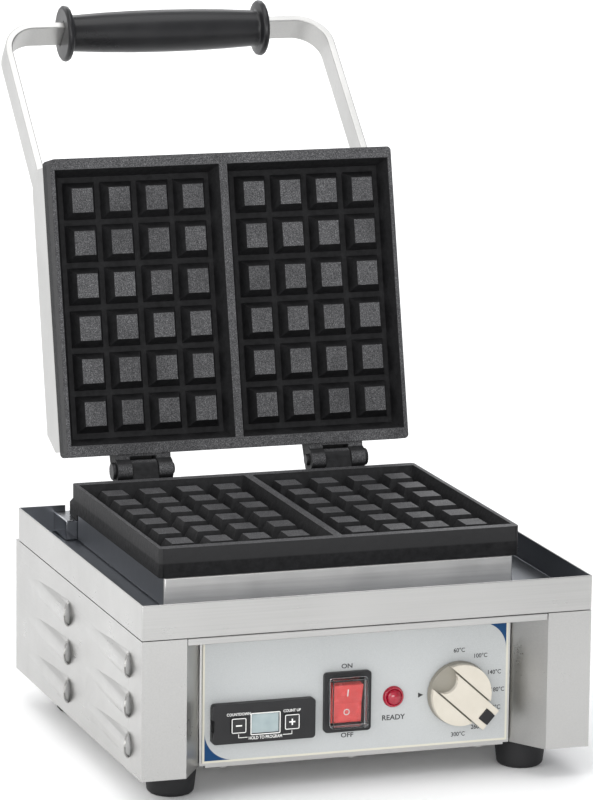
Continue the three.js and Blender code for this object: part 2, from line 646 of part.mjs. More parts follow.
// The rocker is a shallow wedge on both halves. The lower half is pressed in: switched off.
function rocker() {
  const face = controlFaceY - 2.4;
  const shape = outline([
    [face, switchZ - rockerHalfZ + 1.5], [face + 1.4, switchZ], [face, switchZ + rockerHalfZ - 1.5],
    [controlFaceY + 5, switchZ + rockerHalfZ - 1.8], [controlFaceY + 10, switchZ + 6],
    [controlFaceY + 10, switchZ - 6], [controlFaceY + 5, switchZ - rockerHalfZ + 1.8],
  ]);
  return extrude(shape, 'x', SWITCH_X - rockerHalfX + 0.6, SWITCH_X + rockerHalfX - 0.6)
    .translate([0, -rockerPivotY, -switchZ]).rotate([ROCKER_TILT, 0, 0])
    .translate([0, rockerPivotY, switchZ]);
}
add('switch_rocker', rocker(), redPlastic);

function splashCover() {
  const x = rockerHalfX + 1.6;
  const z = rockerHalfZ + 1.6;
  const outer = box(SWITCH_X - x, SWITCH_X + x, bezelFaceY - COVER_RISE, bezelFaceY - CLEARANCE,
    switchZ - z, switchZ + z);
  return outer.subtract(box(SWITCH_X - x + COVER_WALL, SWITCH_X + x - COVER_WALL,
    bezelFaceY - COVER_RISE + COVER_WALL, bezelFaceY, switchZ - z + COVER_WALL, switchZ + z - COVER_WALL));
}
add('switch_splash_cover', splashCover(), clearPlastic);

// ---------------------------------------------------------------- timer
const timerZ = bottomZ + TIMER_Z;
const timerFaceY = controlFaceY - TIMER_PROUD;
const [windowWidth, windowHeight] = TIMER_WINDOW;
const windowX = TIMER_X + TIMER_WINDOW_X;

function keyHole(x, margin, y0, y1) {
  const half = TIMER_BUTTON / 2 + margin;
  const shape = roundedRectangle(x - half, x + half, keyZ - half, keyZ + half, 1.2 + margin);
  return extrude(shape, 'y', y0, y1, 2);
}

function timerCase() {
  const outer = roundedRectangle(TIMER_X - TIMER_WIDTH / 2, TIMER_X + TIMER_WIDTH / 2,
    timerZ - TIMER_HEIGHT / 2, timerZ + TIMER_HEIGHT / 2, 2.5);
  const bodyX = TIMER_WIDTH / 2 - 4;
  const bodyZ = TIMER_HEIGHT / 2 - 3;
  const clip = TIMER_X - TIMER_WIDTH / 2;
  return extrude(outer, 'y', timerFaceY, controlFaceY, 4)
    .add(box(TIMER_X - bodyX, TIMER_X + bodyX, controlFaceY - 1, panelY + TIMER_BODY_DEPTH,
      timerZ - bodyZ, timerZ + bodyZ))
    .subtract(box(TIMER_X - bodyX + 1.6, TIMER_X + bodyX - 1.6, timerFaceY + 1.8,
      panelY + TIMER_BODY_DEPTH + 1, timerZ - bodyZ + 1.6, timerZ + bodyZ - 1.6))
    .subtract(keyHole(keyMinusX, CLEARANCE, timerFaceY - 1, timerFaceY + 3))
    .subtract(keyHole(keyPlusX, CLEARANCE, timerFaceY - 1, timerFaceY + 3))
    .subtract(box(windowX - windowWidth / 2, windowX + windowWidth / 2, timerFaceY - 1, timerFaceY + 3,
      timerZ - windowHeight / 2 - 1, timerZ + windowHeight / 2 - 1))
    .subtract(box(clip - 1, clip + 1.4, timerFaceY - 1, controlFaceY - 1, timerZ - 5, timerZ + 3));
}
add('timer_case', timerCase(), blackPlastic);
add('timer_key_minus', keyHole(keyMinusX, 0, timerFaceY - KEY_PROUD, timerFaceY - KEY_PROUD + KEY_THICK),
  blackPlastic);
add('timer_key_plus', keyHole(keyPlusX, 0, timerFaceY - KEY_PROUD, timerFaceY - KEY_PROUD + KEY_THICK),
  blackPlastic);
const boardY = timerFaceY - KEY_PROUD + KEY_THICK + KEY_TRAVEL + 0.6;
add('timer_display', box(windowX - windowWidth / 2 + CLEARANCE, windowX + windowWidth / 2 - CLEARANCE,
  timerFaceY + 0.8, boardY - CLEARANCE, timerZ - windowHeight / 2 - 1 + CLEARANCE,
  timerZ + windowHeight / 2 - 1 - CLEARANCE), displayGlass);
add('timer_board', box(TIMER_X - TIMER_WIDTH / 2 + 6.5, TIMER_X + TIMER_WIDTH / 2 - 6.5,
  boardY, boardY + 1.6, timerZ - TIMER_HEIGHT / 2 + 5.2, timerZ + TIMER_HEIGHT / 2 - 5.2), circuitGreen);

// ---------------------------------------------------------------- inside the housing
const [terminalWidth, terminalDepth, terminalHeight] = TERMINAL_SIZE;
function terminalBlock() {
  const y1 = rearY - SHEET - 22;
  const x0 = glandX - terminalWidth / 2;
  const z0 = bottomZ + SHEET + CLEARANCE;
  let block = box(x0, x0 + terminalWidth, y1 - terminalDepth, y1, z0, z0 + terminalHeight);
  for (let i = 0; i < 3; i += 1) {
    block = block.subtract(bar('z', x0 + (i + 0.5) * terminalWidth / 3, y1 - terminalDepth / 2,
      z0 + terminalHeight - 6, z0 + terminalHeight + 1, 4, 4, 16));
  }
  return block;
}
add('terminal_block', terminalBlock(), clearPlastic);

function cableGland() {
  const z = bottomZ + GLAND_Z;
  return bar('y', glandX, z, rearY - SHEET - 8, rearY + CLEARANCE, GLAND_RADIUS)
    .add(bar('y', glandX, z, rearY + CLEARANCE, rearY + 6, GLAND_RADIUS + 3, GLAND_RADIUS + 2, 6))
    .add(bar('y', glandX, z, rearY + 5.5, rearY + 14, GLAND_RADIUS + 0.5, GLAND_RADIUS - 1.5))
    .subtract(bar('y', glandX, z, rearY - 30, rearY + 30, 4.5));
}
add('cable_gland', cableGland(), blackPlastic);

// ---------------------------------------------------------------- drip tray, deck and plate box
function dripTray() {
  let tray = box(-halfWidth, halfWidth, frontY, trayRearY, bandZ, bandTopZ);
  const inX = halfWidth - SHEET;
  tray = tray.subtract(box(-inX, inX, frontY + SHEET, trayRearY - SHEET, floorZ, bandTopZ + 1));
  tray = tray.subtract(box(-inX, inX, frontY + SHEET, trayRearY - SHEET, bandZ - 1, floorZ - SHEET));
  tray = tray.subtract(box(-boxX + 2, boxX - 2, boxFrontY + 2, boxRearY - 2, floorZ - 5, floorZ + 5));
  const notchX = halfWidth - NOTCH_MARGIN;
  return tray.subtract(box(-notchX, notchX, trayRearY - 5, trayRearY + 5, deckTopZ - 1, bandTopZ + 1));
}
add('drip_tray', dripTray(), stainless);

const deckX = halfWidth - DECK_MARGIN;
const deckRearY = trayRearY - SHEET - CLEARANCE;
const deckFrontY = deckRearY - DECK_DEPTH;
function rearDeck() {
  const shell = box(-deckX, deckX, deckFrontY, deckRearY, floorZ + CLEARANCE, deckTopZ);
  return shell.subtract(box(-deckX + SHEET, deckX - SHEET, deckFrontY + SHEET, deckRearY - SHEET,
    floorZ - 1, deckTopZ - SHEET));
}
add('rear_deck', rearDeck(), stainless);

const boxTopZ = plateBottomZ - CLEARANCE;
function plateBox() {
  const shell = box(-boxX, boxX, boxFrontY, boxRearY, floorZ + CLEARANCE, boxTopZ);
  const hollow = box(-boxX + SHEET, boxX - SHEET, boxFrontY + SHEET, boxRearY - SHEET,
    floorZ - 1, boxTopZ - SHEET);
  const mouth = box(-boxX + BOX_LIP, boxX - BOX_LIP, boxFrontY + BOX_LIP, boxRearY - BOX_LIP,
    floorZ, boxTopZ + 1);
  return shell.subtract(hollow).subtract(mouth);
}
add('plate_box', plateBox(), stainless);

function heatPan() {
  const x = boxX - 4;
  const y0 = boxFrontY + 4;
  const y1 = boxRearY - 4;
  const top = floorZ - SHEET - CLEARANCE;
  const rim = box(-x - PAN_FLANGE, x + PAN_FLANGE, y0 - PAN_FLANGE, y1 + PAN_FLANGE, top - SHEET, top);
  const wall = box(-x, x, y0, y1, top - PAN_DEPTH, top);
  return rim.add(wall).subtract(box(-x + SHEET, x - SHEET, y0 + SHEET, y1 - SHEET,
    top - PAN_DEPTH + SHEET, top + 1));
}
add('heat_pan', heatPan(), stainless);

// ---------------------------------------------------------------- grid plates
const cavityWidth = (PLATE_WIDTH - 2 * SIDE_RIM - (WAFFLES - 1) * DIVIDER) / WAFFLES;
const cavityLength = PLATE_DEPTH - 2 * END_RIM;
const pegPitchX = (cavityWidth - 2 * CAVITY_TAPER - 2 * PEG_MARGIN_X) / CELLS_ACROSS;
const pegPitchY = (cavityLength - 2 * CAVITY_TAPER - 2 * PEG_MARGIN_Y) / CELLS_ALONG;
const pegBaseX = pegPitchX - GROOVE;
const pegBaseY = pegPitchY - GROOVE;

// One plate with its face up at z = 0 and its middle on the axis.
function gridPlate() {
  const shape = roundedRectangle(-plateX, plateX, plateFrontY, plateRearY, PLATE_CORNER);
  let plate = extrude(shape, 'z', -PLATE_HEIGHT, 0, 3);
  for (let waffle = 0; waffle < WAFFLES; waffle += 1) {
    const x = (waffle - (WAFFLES - 1) / 2) * (cavityWidth + DIVIDER);
    plate = plate.subtract(frustum(x, PLATE_CENTRE_Y, -CAVITY_DEPTH,
      cavityWidth - 2 * CAVITY_TAPER, cavityLength - 2 * CAVITY_TAPER, 0, cavityWidth, cavityLength));
    for (let column = 0; column < CELLS_ACROSS; column += 1) {
      for (let row = 0; row < CELLS_ALONG; row += 1) {
        const pegX = x + (column - (CELLS_ACROSS - 1) / 2) * pegPitchX;
        const pegY = PLATE_CENTRE_Y + (row - (CELLS_ALONG - 1) / 2) * pegPitchY;
        plate = plate.add(frustum(pegX, pegY, -CAVITY_DEPTH - 1, pegBaseX, pegBaseY,
          PEG_HEIGHT - CAVITY_DEPTH, pegBaseX - PEG_TAPER_X, pegBaseY - PEG_TAPER_Y));
      }
    }
  }
  return plate;
}

const facePlate = gridPlate();

// The lower casting carries a low apron behind it, with one tongue for each hinge.
function lowerPlate() {
  let plate = facePlate.translate([0, 0, matingZ]);
  const apronX = plateX - APRON_MARGIN;
  const apronZ = deckTopZ + CLEARANCE;
  const apron = outline([
    [-apronX, apronZ], [apronX, apronZ], [apronX, apronZ + APRON_HEIGHT - 4],
    [apronX - 4, apronZ + APRON_HEIGHT], [-apronX + 4, apronZ + APRON_HEIGHT],
    [-apronX, apronZ + APRON_HEIGHT - 4],
  ]);
  plate = plate.add(extrude(apron, 'y', plateRearY - 2, plateRearY + APRON_DEPTH));
  for (const side of [-1, 1]) {
    const x = side * HINGE_SPREAD;
    const half = TONGUE_WIDTH / 2;
    const web = extrude(outline([
      [plateRearY - 2, apronZ + 2], [plateRearY + APRON_DEPTH, apronZ + 2],
      [hingeY + TONGUE_RADIUS, hingeZ], [hingeY - TONGUE_RADIUS, hingeZ],
      [plateRearY - 2, matingZ - 8],
    ]), 'x', x - half, x + half);
    plate = plate.add(web).add(bar('x', hingeY, hingeZ, x - half, x + half, TONGUE_RADIUS));
    plate = plate.subtract(bar('x', hingeY, hingeZ, x - half - 1, x + half + 1,
      PIN_RADIUS + PIN_CLEARANCE, PIN_RADIUS + PIN_CLEARANCE, 24));
  }
  return plate;
}
add('lower_grid_plate', lowerPlate(), castIron);

// The upper casting has a forked knuckle for each hinge, slotted for the tongue below it.
function upperPlate() {
  let plate = facePlate.mirror([0, 0, 1]).translate([0, 0, lidMatingZ]);
  for (const side of [-1, 1]) {
    const x = side * HINGE_SPREAD;
    const half = KNUCKLE_WIDTH / 2;
    const web = extrude(outline([
      [plateRearY - 2, lidMatingZ + 1], [hingeY - KNUCKLE_RADIUS + 1, hingeZ - 2],
      [hingeY + KNUCKLE_RADIUS, hingeZ], [hingeY + KNUCKLE_RADIUS - 2, hingeZ + 8],
      [plateRearY - 2, lidMatingZ + PLATE_HEIGHT - 3],
    ]), 'x', x - half, x + half);
    plate = plate.add(web).add(bar('x', hingeY, hingeZ, x - half, x + half, KNUCKLE_RADIUS));
    const slot = TONGUE_WIDTH / 2 + HINGE_GAP;
    plate = plate.subtract(box(x - slot, x + slot, plateRearY + 1.5, hingeY + 30, hingeZ - 20,
      hingeZ + TONGUE_RADIUS + 1.5));
    plate = plate.subtract(bar('x', hingeY, hingeZ, x - half - 1, x + half + 1,
      PIN_RADIUS + CLEARANCE, PIN_RADIUS + CLEARANCE, 24));
  }
  return plate;
}
add('upper_grid_plate', upperPlate(), castIron, lid);

// Each pin is fast in the lid's knuckle and turns in the tongue.
for (const [name, side] of [['left', -1], ['right', 1]]) {
  const x = side * HINGE_SPREAD;
  const half = KNUCKLE_WIDTH / 2 + CLEARANCE;
  const shank = bar('x', hingeY, hingeZ, x - half, x + half + 2, PIN_RADIUS, PIN_RADIUS, 24);
  const head = bar('x', hingeY, hingeZ, x - half - PIN_HEAD, x - half, PIN_HEAD_RADIUS);
  add(`hinge_pin_${name}`, side < 0 ? shank.add(head) : mirrored(shank.add(head).translate([-2 * x, 0, 0])),
    steel, lid);
}

// ---------------------------------------------------------------- heating elements
// Serpentine of one tube under both waffles; `level` is its height and both ends face the rear.
function elementTube(level) {
  const path = new THREE.CurvePath();
  const rear = plateRearY - ELEMENT_REAR_MARGIN;
  const front = plateFrontY + ELEMENT_FRONT_MARGIN;
  const outerX = plateX - ELEMENT_SIDE_MARGIN;
  const corners = [
    [-outerX, rear], [-outerX, front], [-ELEMENT_INNER_X, front],
    [-ELEMENT_INNER_X, rear - 30], [ELEMENT_INNER_X, rear - 30], [ELEMENT_INNER_X, front],
    [outerX, front], [outerX, rear],
  ].map(([x, y]) => new THREE.Vector3(x, y, level));
  let from = corners[0];
  for (let i = 1; i < corners.length - 1; i += 1) {
    const corner = corners[i];
    const before = corner.clone().lerp(corners[i - 1], ELEMENT_BEND / corner.distanceTo(corners[i - 1]));
    const after = corner.clone().lerp(corners[i + 1], ELEMENT_BEND / corner.distanceTo(corners[i + 1]));
    path.add(new THREE.LineCurve3(from, before));
    path.add(new THREE.QuadraticBezierCurve3(before, corner, after));
    from = after;
  }
  path.add(new THREE.LineCurve3(from, corners[corners.length - 1]));
  const section = new THREE.Shape();
  section.absarc(0, 0, ELEMENT_RADIUS, 0, 2 * Math.PI);
  return solid(new THREE.ExtrudeGeometry(section, {
    steps: 56, curveSegments: 3, bevelEnabled: false, extrudePath: path,
  }));
}

// A clamp plate holds the tube against the casting, with mineral wool behind it.
function clampPlate(z0, z1) {
  return box(-plateX + CLAMP_MARGIN, plateX - CLAMP_MARGIN, plateFrontY + CLAMP_MARGIN,
    plateRearY - CLAMP_MARGIN, z0, z1);
}

const lowerTubeZ = plateBottomZ - CLEARANCE - ELEMENT_RADIUS;
const lowerClampZ = lowerTubeZ - ELEMENT_RADIUS - CLEARANCE;
add('lower_heating_element', elementTube(lowerTubeZ), steel);
add('lower_element_clamp', clampPlate(lowerClampZ - CLAMP_THICK, lowerClampZ), steel);
const lowerWoolZ = lowerClampZ - CLAMP_THICK - CLEARANCE;
add('lower_insulation', clampPlate(lowerWoolZ - WOOL_THICK, lowerWoolZ), mineralWool);

const upperTubeZ = lidMatingZ + PLATE_HEIGHT + CLEARANCE + ELEMENT_RADIUS;
const upperClampZ = upperTubeZ + ELEMENT_RADIUS + CLEARANCE;
add('upper_heating_element', elementTube(upperTubeZ), steel, lid);
add('upper_element_clamp', clampPlate(upperClampZ, upperClampZ + CLAMP_THICK), steel, lid);
const upperWoolZ = upperClampZ + CLAMP_THICK + CLEARANCE;
add('upper_insulation', clampPlate(upperWoolZ, upperWoolZ + WOOL_THICK), mineralWool, lid);

// The thermostat's bulb lies against the lower casting, between the element's two inner runs.
add('thermostat_bulb', bar('y', 0, lowerTubeZ, PLATE_CENTRE_Y - 60, PLATE_CENTRE_Y + 20, 3, 3, 16), copper);

// ---------------------------------------------------------------- handle
// Points on the handle's own plane: `reach` along the arms from the rear, `lift` across the flat bar.
function handlePoint(reach, lift) {
  const c = Math.cos(HANDLE_ANGLE * degrees);
  const s = Math.sin(HANDLE_ANGLE * degrees);
  const across = lift - HANDLE_DROP;
  return [plateRearY - (reach * c - across * s), lidMatingZ + reach * s + across * c];
}

// Drawn flat on X-Y (Y is reach, Z is lift), then laid on the handle's plane.
function onHandlePlane(manifold) {
  const [y, z] = handlePoint(0, 0);
  return manifold.mirror([0, 1, 0]).rotate([-HANDLE_ANGLE, 0, 0]).translate([0, y, z]);
}

function handleOutline(grow) {
  const x = armX + BAR_THICK / 2 + grow;
  const top = HANDLE_REACH + BAR_THICK / 2 + grow;
  const outer = BAR_BEND + BAR_THICK + grow;
  const inX = armX - BAR_THICK / 2 - grow;
  const inTop = HANDLE_REACH - BAR_THICK / 2 - grow;
  const inner = BAR_BEND - grow;
  const shape = new THREE.Shape();
  shape.moveTo(-x, HANDLE_FOOT - grow);
  shape.lineTo(-inX, HANDLE_FOOT - grow);
  shape.lineTo(-inX, inTop - inner);
  shape.absarc(-inX + inner, inTop - inner, inner, Math.PI, Math.PI / 2, true);
  shape.lineTo(inX - inner, inTop);
  shape.absarc(inX - inner, inTop - inner, inner, Math.PI / 2, 0, true);
  shape.lineTo(inX, HANDLE_FOOT - grow);
  shape.lineTo(x, HANDLE_FOOT - grow);
  shape.lineTo(x, top - outer);
  shape.absarc(x - outer, top - outer, outer, 0, Math.PI / 2, false);
  shape.lineTo(-x + outer, top);
  shape.absarc(-x + outer, top - outer, outer, Math.PI / 2, Math.PI, false);
  return shape;
}

function handleBolts(radius, x0, x1) {
  const holes = [0, 1].map((i) => {
    const reach = HANDLE_FOOT + BOLT_END + i * BOLT_SPACING;
    const right = bar('x', reach, 0, x0, x1, radius, radius, 16);
    return right.add(mirrored(right));
  });
  return holes[0].add(holes[1]);
}

const flatBar = extrude(handleOutline(0), 'z', -BAR_WIDTH / 2, BAR_WIDTH / 2, 6);
add('handle_bar', onHandlePlane(flatBar.subtract(handleBolts(BOLT_RADIUS + 0.2, armX - 10, armX + 10))),
  stainless, lid);

function handleGrip() {
  const half = GRIP_LENGTH / 2;
  const steps = 6;
  const profile = [new THREE.Vector2(0, -half), new THREE.Vector2(GRIP_FLANGE - 1.6, -half),
    new THREE.Vector2(GRIP_FLANGE, -half + 1.6),
    new THREE.Vector2(GRIP_FLANGE - 0.8, -half + GRIP_FLANGE_THICK - 1),
    new THREE.Vector2(GRIP_END_RADIUS + 1.5, -half + GRIP_FLANGE_THICK)];
  for (let i = 0; i <= steps; i += 1) {
    const y = (i / steps - 0.5) * 2 * (half - GRIP_FLANGE_THICK - 2);
    const swell = Math.cos((y / half) * (Math.PI / 2)) ** 0.7;
    profile.push(new THREE.Vector2(GRIP_END_RADIUS + (GRIP_MIDDLE_RADIUS - GRIP_END_RADIUS) * swell, y));
  }
  const mirror = profile.slice(0, 5).reverse().map((p) => new THREE.Vector2(p.x, -p.y));
  const lathe = new THREE.LatheGeometry(profile.concat(mirror), 20).rotateZ(Math.PI / 2);
  const slot = box(-half - 1, half + 1, -BAR_THICK / 2 - CLEARANCE, BAR_THICK / 2 + CLEARANCE,
    -BAR_WIDTH / 2 - CLEARANCE, BAR_WIDTH / 2 + CLEARANCE);
  return onHandlePlane(solid(lathe).subtract(slot).translate([0, HANDLE_REACH, 0]));
}
add('handle_grip', handleGrip(), blackPlastic, lid);

// Inside the lid each arm is bolted to an angle bracket that stands on the casting.
const bracketX = armX - BAR_THICK / 2 - CLEARANCE;
function handleBracket() {
  const foot = lidMatingZ + PLATE_HEIGHT + CLEARANCE;
  const top = coverTopZ;
  const [y] = handlePoint(HANDLE_FOOT + BOLT_END + BOLT_SPACING / 2, 0);
  const y0 = y - BRACKET_LENGTH / 2;
  const wall = box(bracketX - BRACKET_THICK, bracketX, y0, y0 + BRACKET_LENGTH, foot, top);
  const ledge = box(plateX - CLAMP_MARGIN + 1, bracketX, y0, y0 + BRACKET_LENGTH, foot,
    foot + BRACKET_THICK);
  const inside = extrude(coverProfile(SHEET + CLEARANCE), 'x', -coverX, coverX);
  return wall.add(ledge).intersect(inside)
    .subtract(onHandlePlane(handleBolts(BOLT_RADIUS + 0.2, armX - 20, armX + 20)));
}
const rightBracket = handleBracket();
add('handle_bracket_right', rightBracket, steel, lid);
add('handle_bracket_left', mirrored(rightBracket), steel, lid);

for (let i = 0; i < 2; i += 1) {
  const reach = HANDLE_FOOT + BOLT_END + i * BOLT_SPACING;
  const headX = bracketX - BRACKET_THICK - CLEARANCE;
  const bolt = bar('x', reach, 0, headX - 1, armX + BAR_THICK / 2, BOLT_RADIUS - 0.1, BOLT_RADIUS - 0.1, 16)
    .add(bar('x', reach, 0, headX - BOLT_HEAD, headX, BOLT_HEAD_RADIUS, BOLT_HEAD_RADIUS, 16));
  const place = i ? 'front' : 'rear';
  add(`handle_bolt_right_${place}`, onHandlePlane(bolt), steel, lid);
  add(`handle_bolt_left_${place}`, onHandlePlane(mirrored(bolt)), steel, lid);
}

// ---------------------------------------------------------------- lid cover
function coverProfile(inset) {
  const y0 = plateFrontY + COVER_END_INSET + inset;
  const y1 = plateRearY - COVER_END_INSET - inset;
  const z0 = lidMatingZ + PLATE_HEIGHT + CLEARANCE;
  const top = coverTopZ - inset;
  const run = CHAMFER_RUN - inset * 0.3;
  return outline([
    [y0, z0 - (inset ? 1 : 0)], [y1, z0 - (inset ? 1 : 0)], [y1, top - CHAMFER_RISE],
    [y1 - run, top], [y0 + run, top], [y0, top - CHAMFER_RISE],
  ]);
}

function lidCover() {
  const shell = extrude(coverProfile(0), 'x', -coverX, coverX)
    .subtract(extrude(coverProfile(SHEET), 'x', -coverX + SHEET, coverX - SHEET));
  const armSlot = box(armX - BAR_THICK / 2 - CLEARANCE, armX + BAR_THICK / 2 + CLEARANCE,
    HANDLE_FOOT - 1, HANDLE_REACH, -BAR_WIDTH / 2 - CLEARANCE, BAR_WIDTH / 2 + CLEARANCE);
  const slots = onHandlePlane(armSlot.add(mirrored(armSlot)));
  return shell.subtract(slots);
}
add('lid_cover', lidCover(), stainless, lid);

// The origin lies on the table, under the middle of the whole open iron.
const extent = new THREE.Box3().setFromObject(wholeIron, true);
wholeIron.position.y = -(extent.min.y + extent.max.y) / 2;

export default wholeIron;
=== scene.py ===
import bmesh
import bpy
import json
import math
from mathutils import Matrix, Vector
from mathutils.bvhtree import BVHTree


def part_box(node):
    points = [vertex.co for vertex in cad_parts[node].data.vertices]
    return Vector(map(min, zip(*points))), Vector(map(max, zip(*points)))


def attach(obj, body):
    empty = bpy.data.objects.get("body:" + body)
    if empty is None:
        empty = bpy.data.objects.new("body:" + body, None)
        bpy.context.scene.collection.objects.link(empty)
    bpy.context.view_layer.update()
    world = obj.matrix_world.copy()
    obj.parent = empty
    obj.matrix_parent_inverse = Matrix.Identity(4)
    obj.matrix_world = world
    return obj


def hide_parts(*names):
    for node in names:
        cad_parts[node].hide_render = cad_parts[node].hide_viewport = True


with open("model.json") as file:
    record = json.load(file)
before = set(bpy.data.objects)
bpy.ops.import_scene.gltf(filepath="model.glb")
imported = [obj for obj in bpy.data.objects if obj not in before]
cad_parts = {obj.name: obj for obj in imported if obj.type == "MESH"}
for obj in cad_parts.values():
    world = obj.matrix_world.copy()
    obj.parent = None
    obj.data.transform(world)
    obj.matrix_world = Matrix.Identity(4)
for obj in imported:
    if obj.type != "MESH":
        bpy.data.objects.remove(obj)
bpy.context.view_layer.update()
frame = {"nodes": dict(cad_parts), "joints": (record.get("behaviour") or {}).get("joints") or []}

nodes = frame["nodes"]

# ---------------------------------------------------------------- the studio
# A pale seamless floor under a soft sky, brighter on the left than on the right. Soft lights stand
# on the left, in front and overhead, and a broad one behind keeps the background white.
view_centre = Vector((-0.00188, -0.09332, 0.23046))
view_azimuth = math.radians(-18.73)
view_elevation = math.radians(11.44)
view_roll = math.radians(0.66)
view_distance = 3.1855
toward_camera = Vector((
    math.sin(view_azimuth) * math.cos(view_elevation),
    -math.cos(view_azimuth) * math.cos(view_elevation),
    math.sin(view_elevation),
))
camera_data = bpy.data.cameras.new("camera")
camera_data.sensor_width = 36.0
camera_data.lens = 216.19
camera_data.clip_end = 50.0
camera = bpy.data.objects.new("camera", camera_data)
bpy.context.scene.collection.objects.link(camera)
camera.matrix_world = (
    Matrix.Translation(view_centre + view_distance * toward_camera)
    @ toward_camera.to_track_quat("Z", "Y").to_matrix().to_4x4()
    @ Matrix.Rotation(view_roll, 4, "Z")
)
bpy.context.scene.camera = camera
bpy.context.scene.view_settings.view_transform = "Standard"


def soft_light(name, place, target, size, power):
    data = bpy.data.lights.new(name, "AREA")
    data.shape = "RECTANGLE"
    data.size, data.size_y = size
    data.energy = power
    light = bpy.data.objects.new(name, data)
    bpy.context.scene.collection.objects.link(light)
    aim = (Vector(place) - Vector(target)).to_track_quat("Z", "Y").to_matrix().to_4x4()
    light.matrix_world = Matrix.Translation(place) @ aim


soft_light("left_light", (-1.7, -0.9, 1.1), (0, -0.05, 0.2), (1.2, 1.2), 14)
soft_light("front_light", (-0.5, -2.6, 0.55), (0, -0.2, 0.12), (1.5, 0.7), 20)
soft_light("top_light", (0.1, -0.2, 2.0), (0, 0, 0.1), (1.6, 1.2), 12)
soft_light("background_light", (0.3, 3.8, 2.6), (0.3, 4.0, 0), (6.0, 3.6), 110)

sky_left, sky_right = (1.0, 1.0, 1.0, 1), (0.42, 0.43, 0.45, 1)
sky_strength = 1.15
world = bpy.data.worlds.new("studio")
bpy.context.scene.world = world
world.use_nodes = True
sky = world.node_tree
sky.nodes.clear()
direction = sky.nodes.new("ShaderNodeTexCoord")
split = sky.nodes.new("ShaderNodeSeparateXYZ")
shade = sky.nodes.new("ShaderNodeValToRGB")
shade.color_ramp.elements[0].position = 0.15
shade.color_ramp.elements[0].color = sky_left
shade.color_ramp.elements[1].position = 0.85
shade.color_ramp.elements[1].color = sky_right
lift = sky.nodes.new("ShaderNodeMapRange")
lift.inputs["From Min"].default_value = -1.0
background = sky.nodes.new("ShaderNodeBackground")
background.inputs["Strength"].default_value = sky_strength
sky_output = sky.nodes.new("ShaderNodeOutputWorld")
sky.links.new(direction.outputs["Generated"], split.inputs[0])
sky.links.new(split.outputs["X"], lift.inputs["Value"])
sky.links.new(lift.outputs[0], shade.inputs[0])
sky.links.new(shade.outputs[0], background.inputs["Color"])
sky.links.new(background.outputs[0], sky_output.inputs["Surface"])

floor_reach = 6
floor_corners = [(x * floor_reach, y * floor_reach, 0) for x, y in ((-1, -1), (1, -1), (1, 1), (-1, 1))]
floor_mesh = bpy.data.meshes.new("floor")
floor_mesh.from_pydata(floor_corners, [], [(0, 1, 2, 3)])
floor = bpy.data.objects.new("floor", floor_mesh)
bpy.context.scene.collection.objects.link(floor)
paper = bpy.data.materials.new("floor_paper")
paper.use_nodes = True
paper_shader = paper.node_tree.nodes["Principled BSDF"]
paper_shader.inputs["Base Color"].default_value = (0.96, 0.96, 0.96, 1)
paper_shader.inputs["Roughness"].default_value = 0.9
floor_mesh.materials.append(paper)


# ---------------------------------------------------------------- the folded stainless housing
# Side panels with the front corner posts folded from the same sheet, a rear panel, a front rail, the
# recessed control panel and a base plate. Satin stainless sheet, folded, the outer corners rounded.
class Finish:
    """A material under construction, with short ways to add and join its nodes."""

    def __init__(self, name):
        self.material = bpy.data.materials.new(name)
        self.material.use_nodes = True
        self.tree = self.material.node_tree
        self.shader = self.tree.nodes["Principled BSDF"]
        self.place = self.tree.nodes.new("ShaderNodeTexCoord").outputs["Object"]

    def node(self, kind, values=None, **settings):
        made = self.tree.nodes.new("ShaderNode" + kind)
        for key, value in settings.items():
            setattr(made, key, value)
        for key, value in (values or {}).items():
            if isinstance(value, bpy.types.NodeSocket):
                self.tree.links.new(value, made.inputs[key])
            else:
                made.inputs[key].default_value = value
        return made

    def math(self, operation, *values, clamp=False):
        made = self.node("Math", dict(enumerate(values)), operation=operation, use_clamp=clamp)
        return made.outputs[0]

    def stretched(self, scale):
        return self.node("Mapping", {"Vector": self.place, "Scale": scale}).outputs[0]

    def noise(self, where, scale, detail=3.0, roughness=0.5):
        return self.node("TexNoise", {
            "Vector": where, "Scale": scale, "Detail": detail, "Roughness": roughness,
        }).outputs["Fac"]

    def blend(self, amount, low, high):
        return self.node("Mix", {0: amount, 6: low, 7: high}, data_type="RGBA").outputs[2]

    def between(self, value, low, high, to_low=0.0, to_high=1.0):
        return self.node("MapRange", {
            "Value": value, "From Min": low, "From Max": high, "To Min": to_low, "To Max": to_high,
        }).outputs[0]

    def set(self, **values):
        for key, value in values.items():
            socket = self.shader.inputs[key.replace("_", " ")]
            if isinstance(value, bpy.types.NodeSocket):
                self.tree.links.new(value, socket)
            else:
                socket.default_value = value

    def bump(self, *layers):
        normal = None
        for height, strength, distance in layers:
            values = {"Height": height, "Strength": strength, "Distance": distance}
            if normal is not None:
                values["Normal"] = normal
            normal = self.node("Bump", values).outputs[0]
        self.set(Normal=normal)


sheet_edge = 0.0009
# The dark grey-blue colour that satin_steel lays on as painted shade inside a box.
shaded_steel = (0.22, 0.23, 0.25, 1)


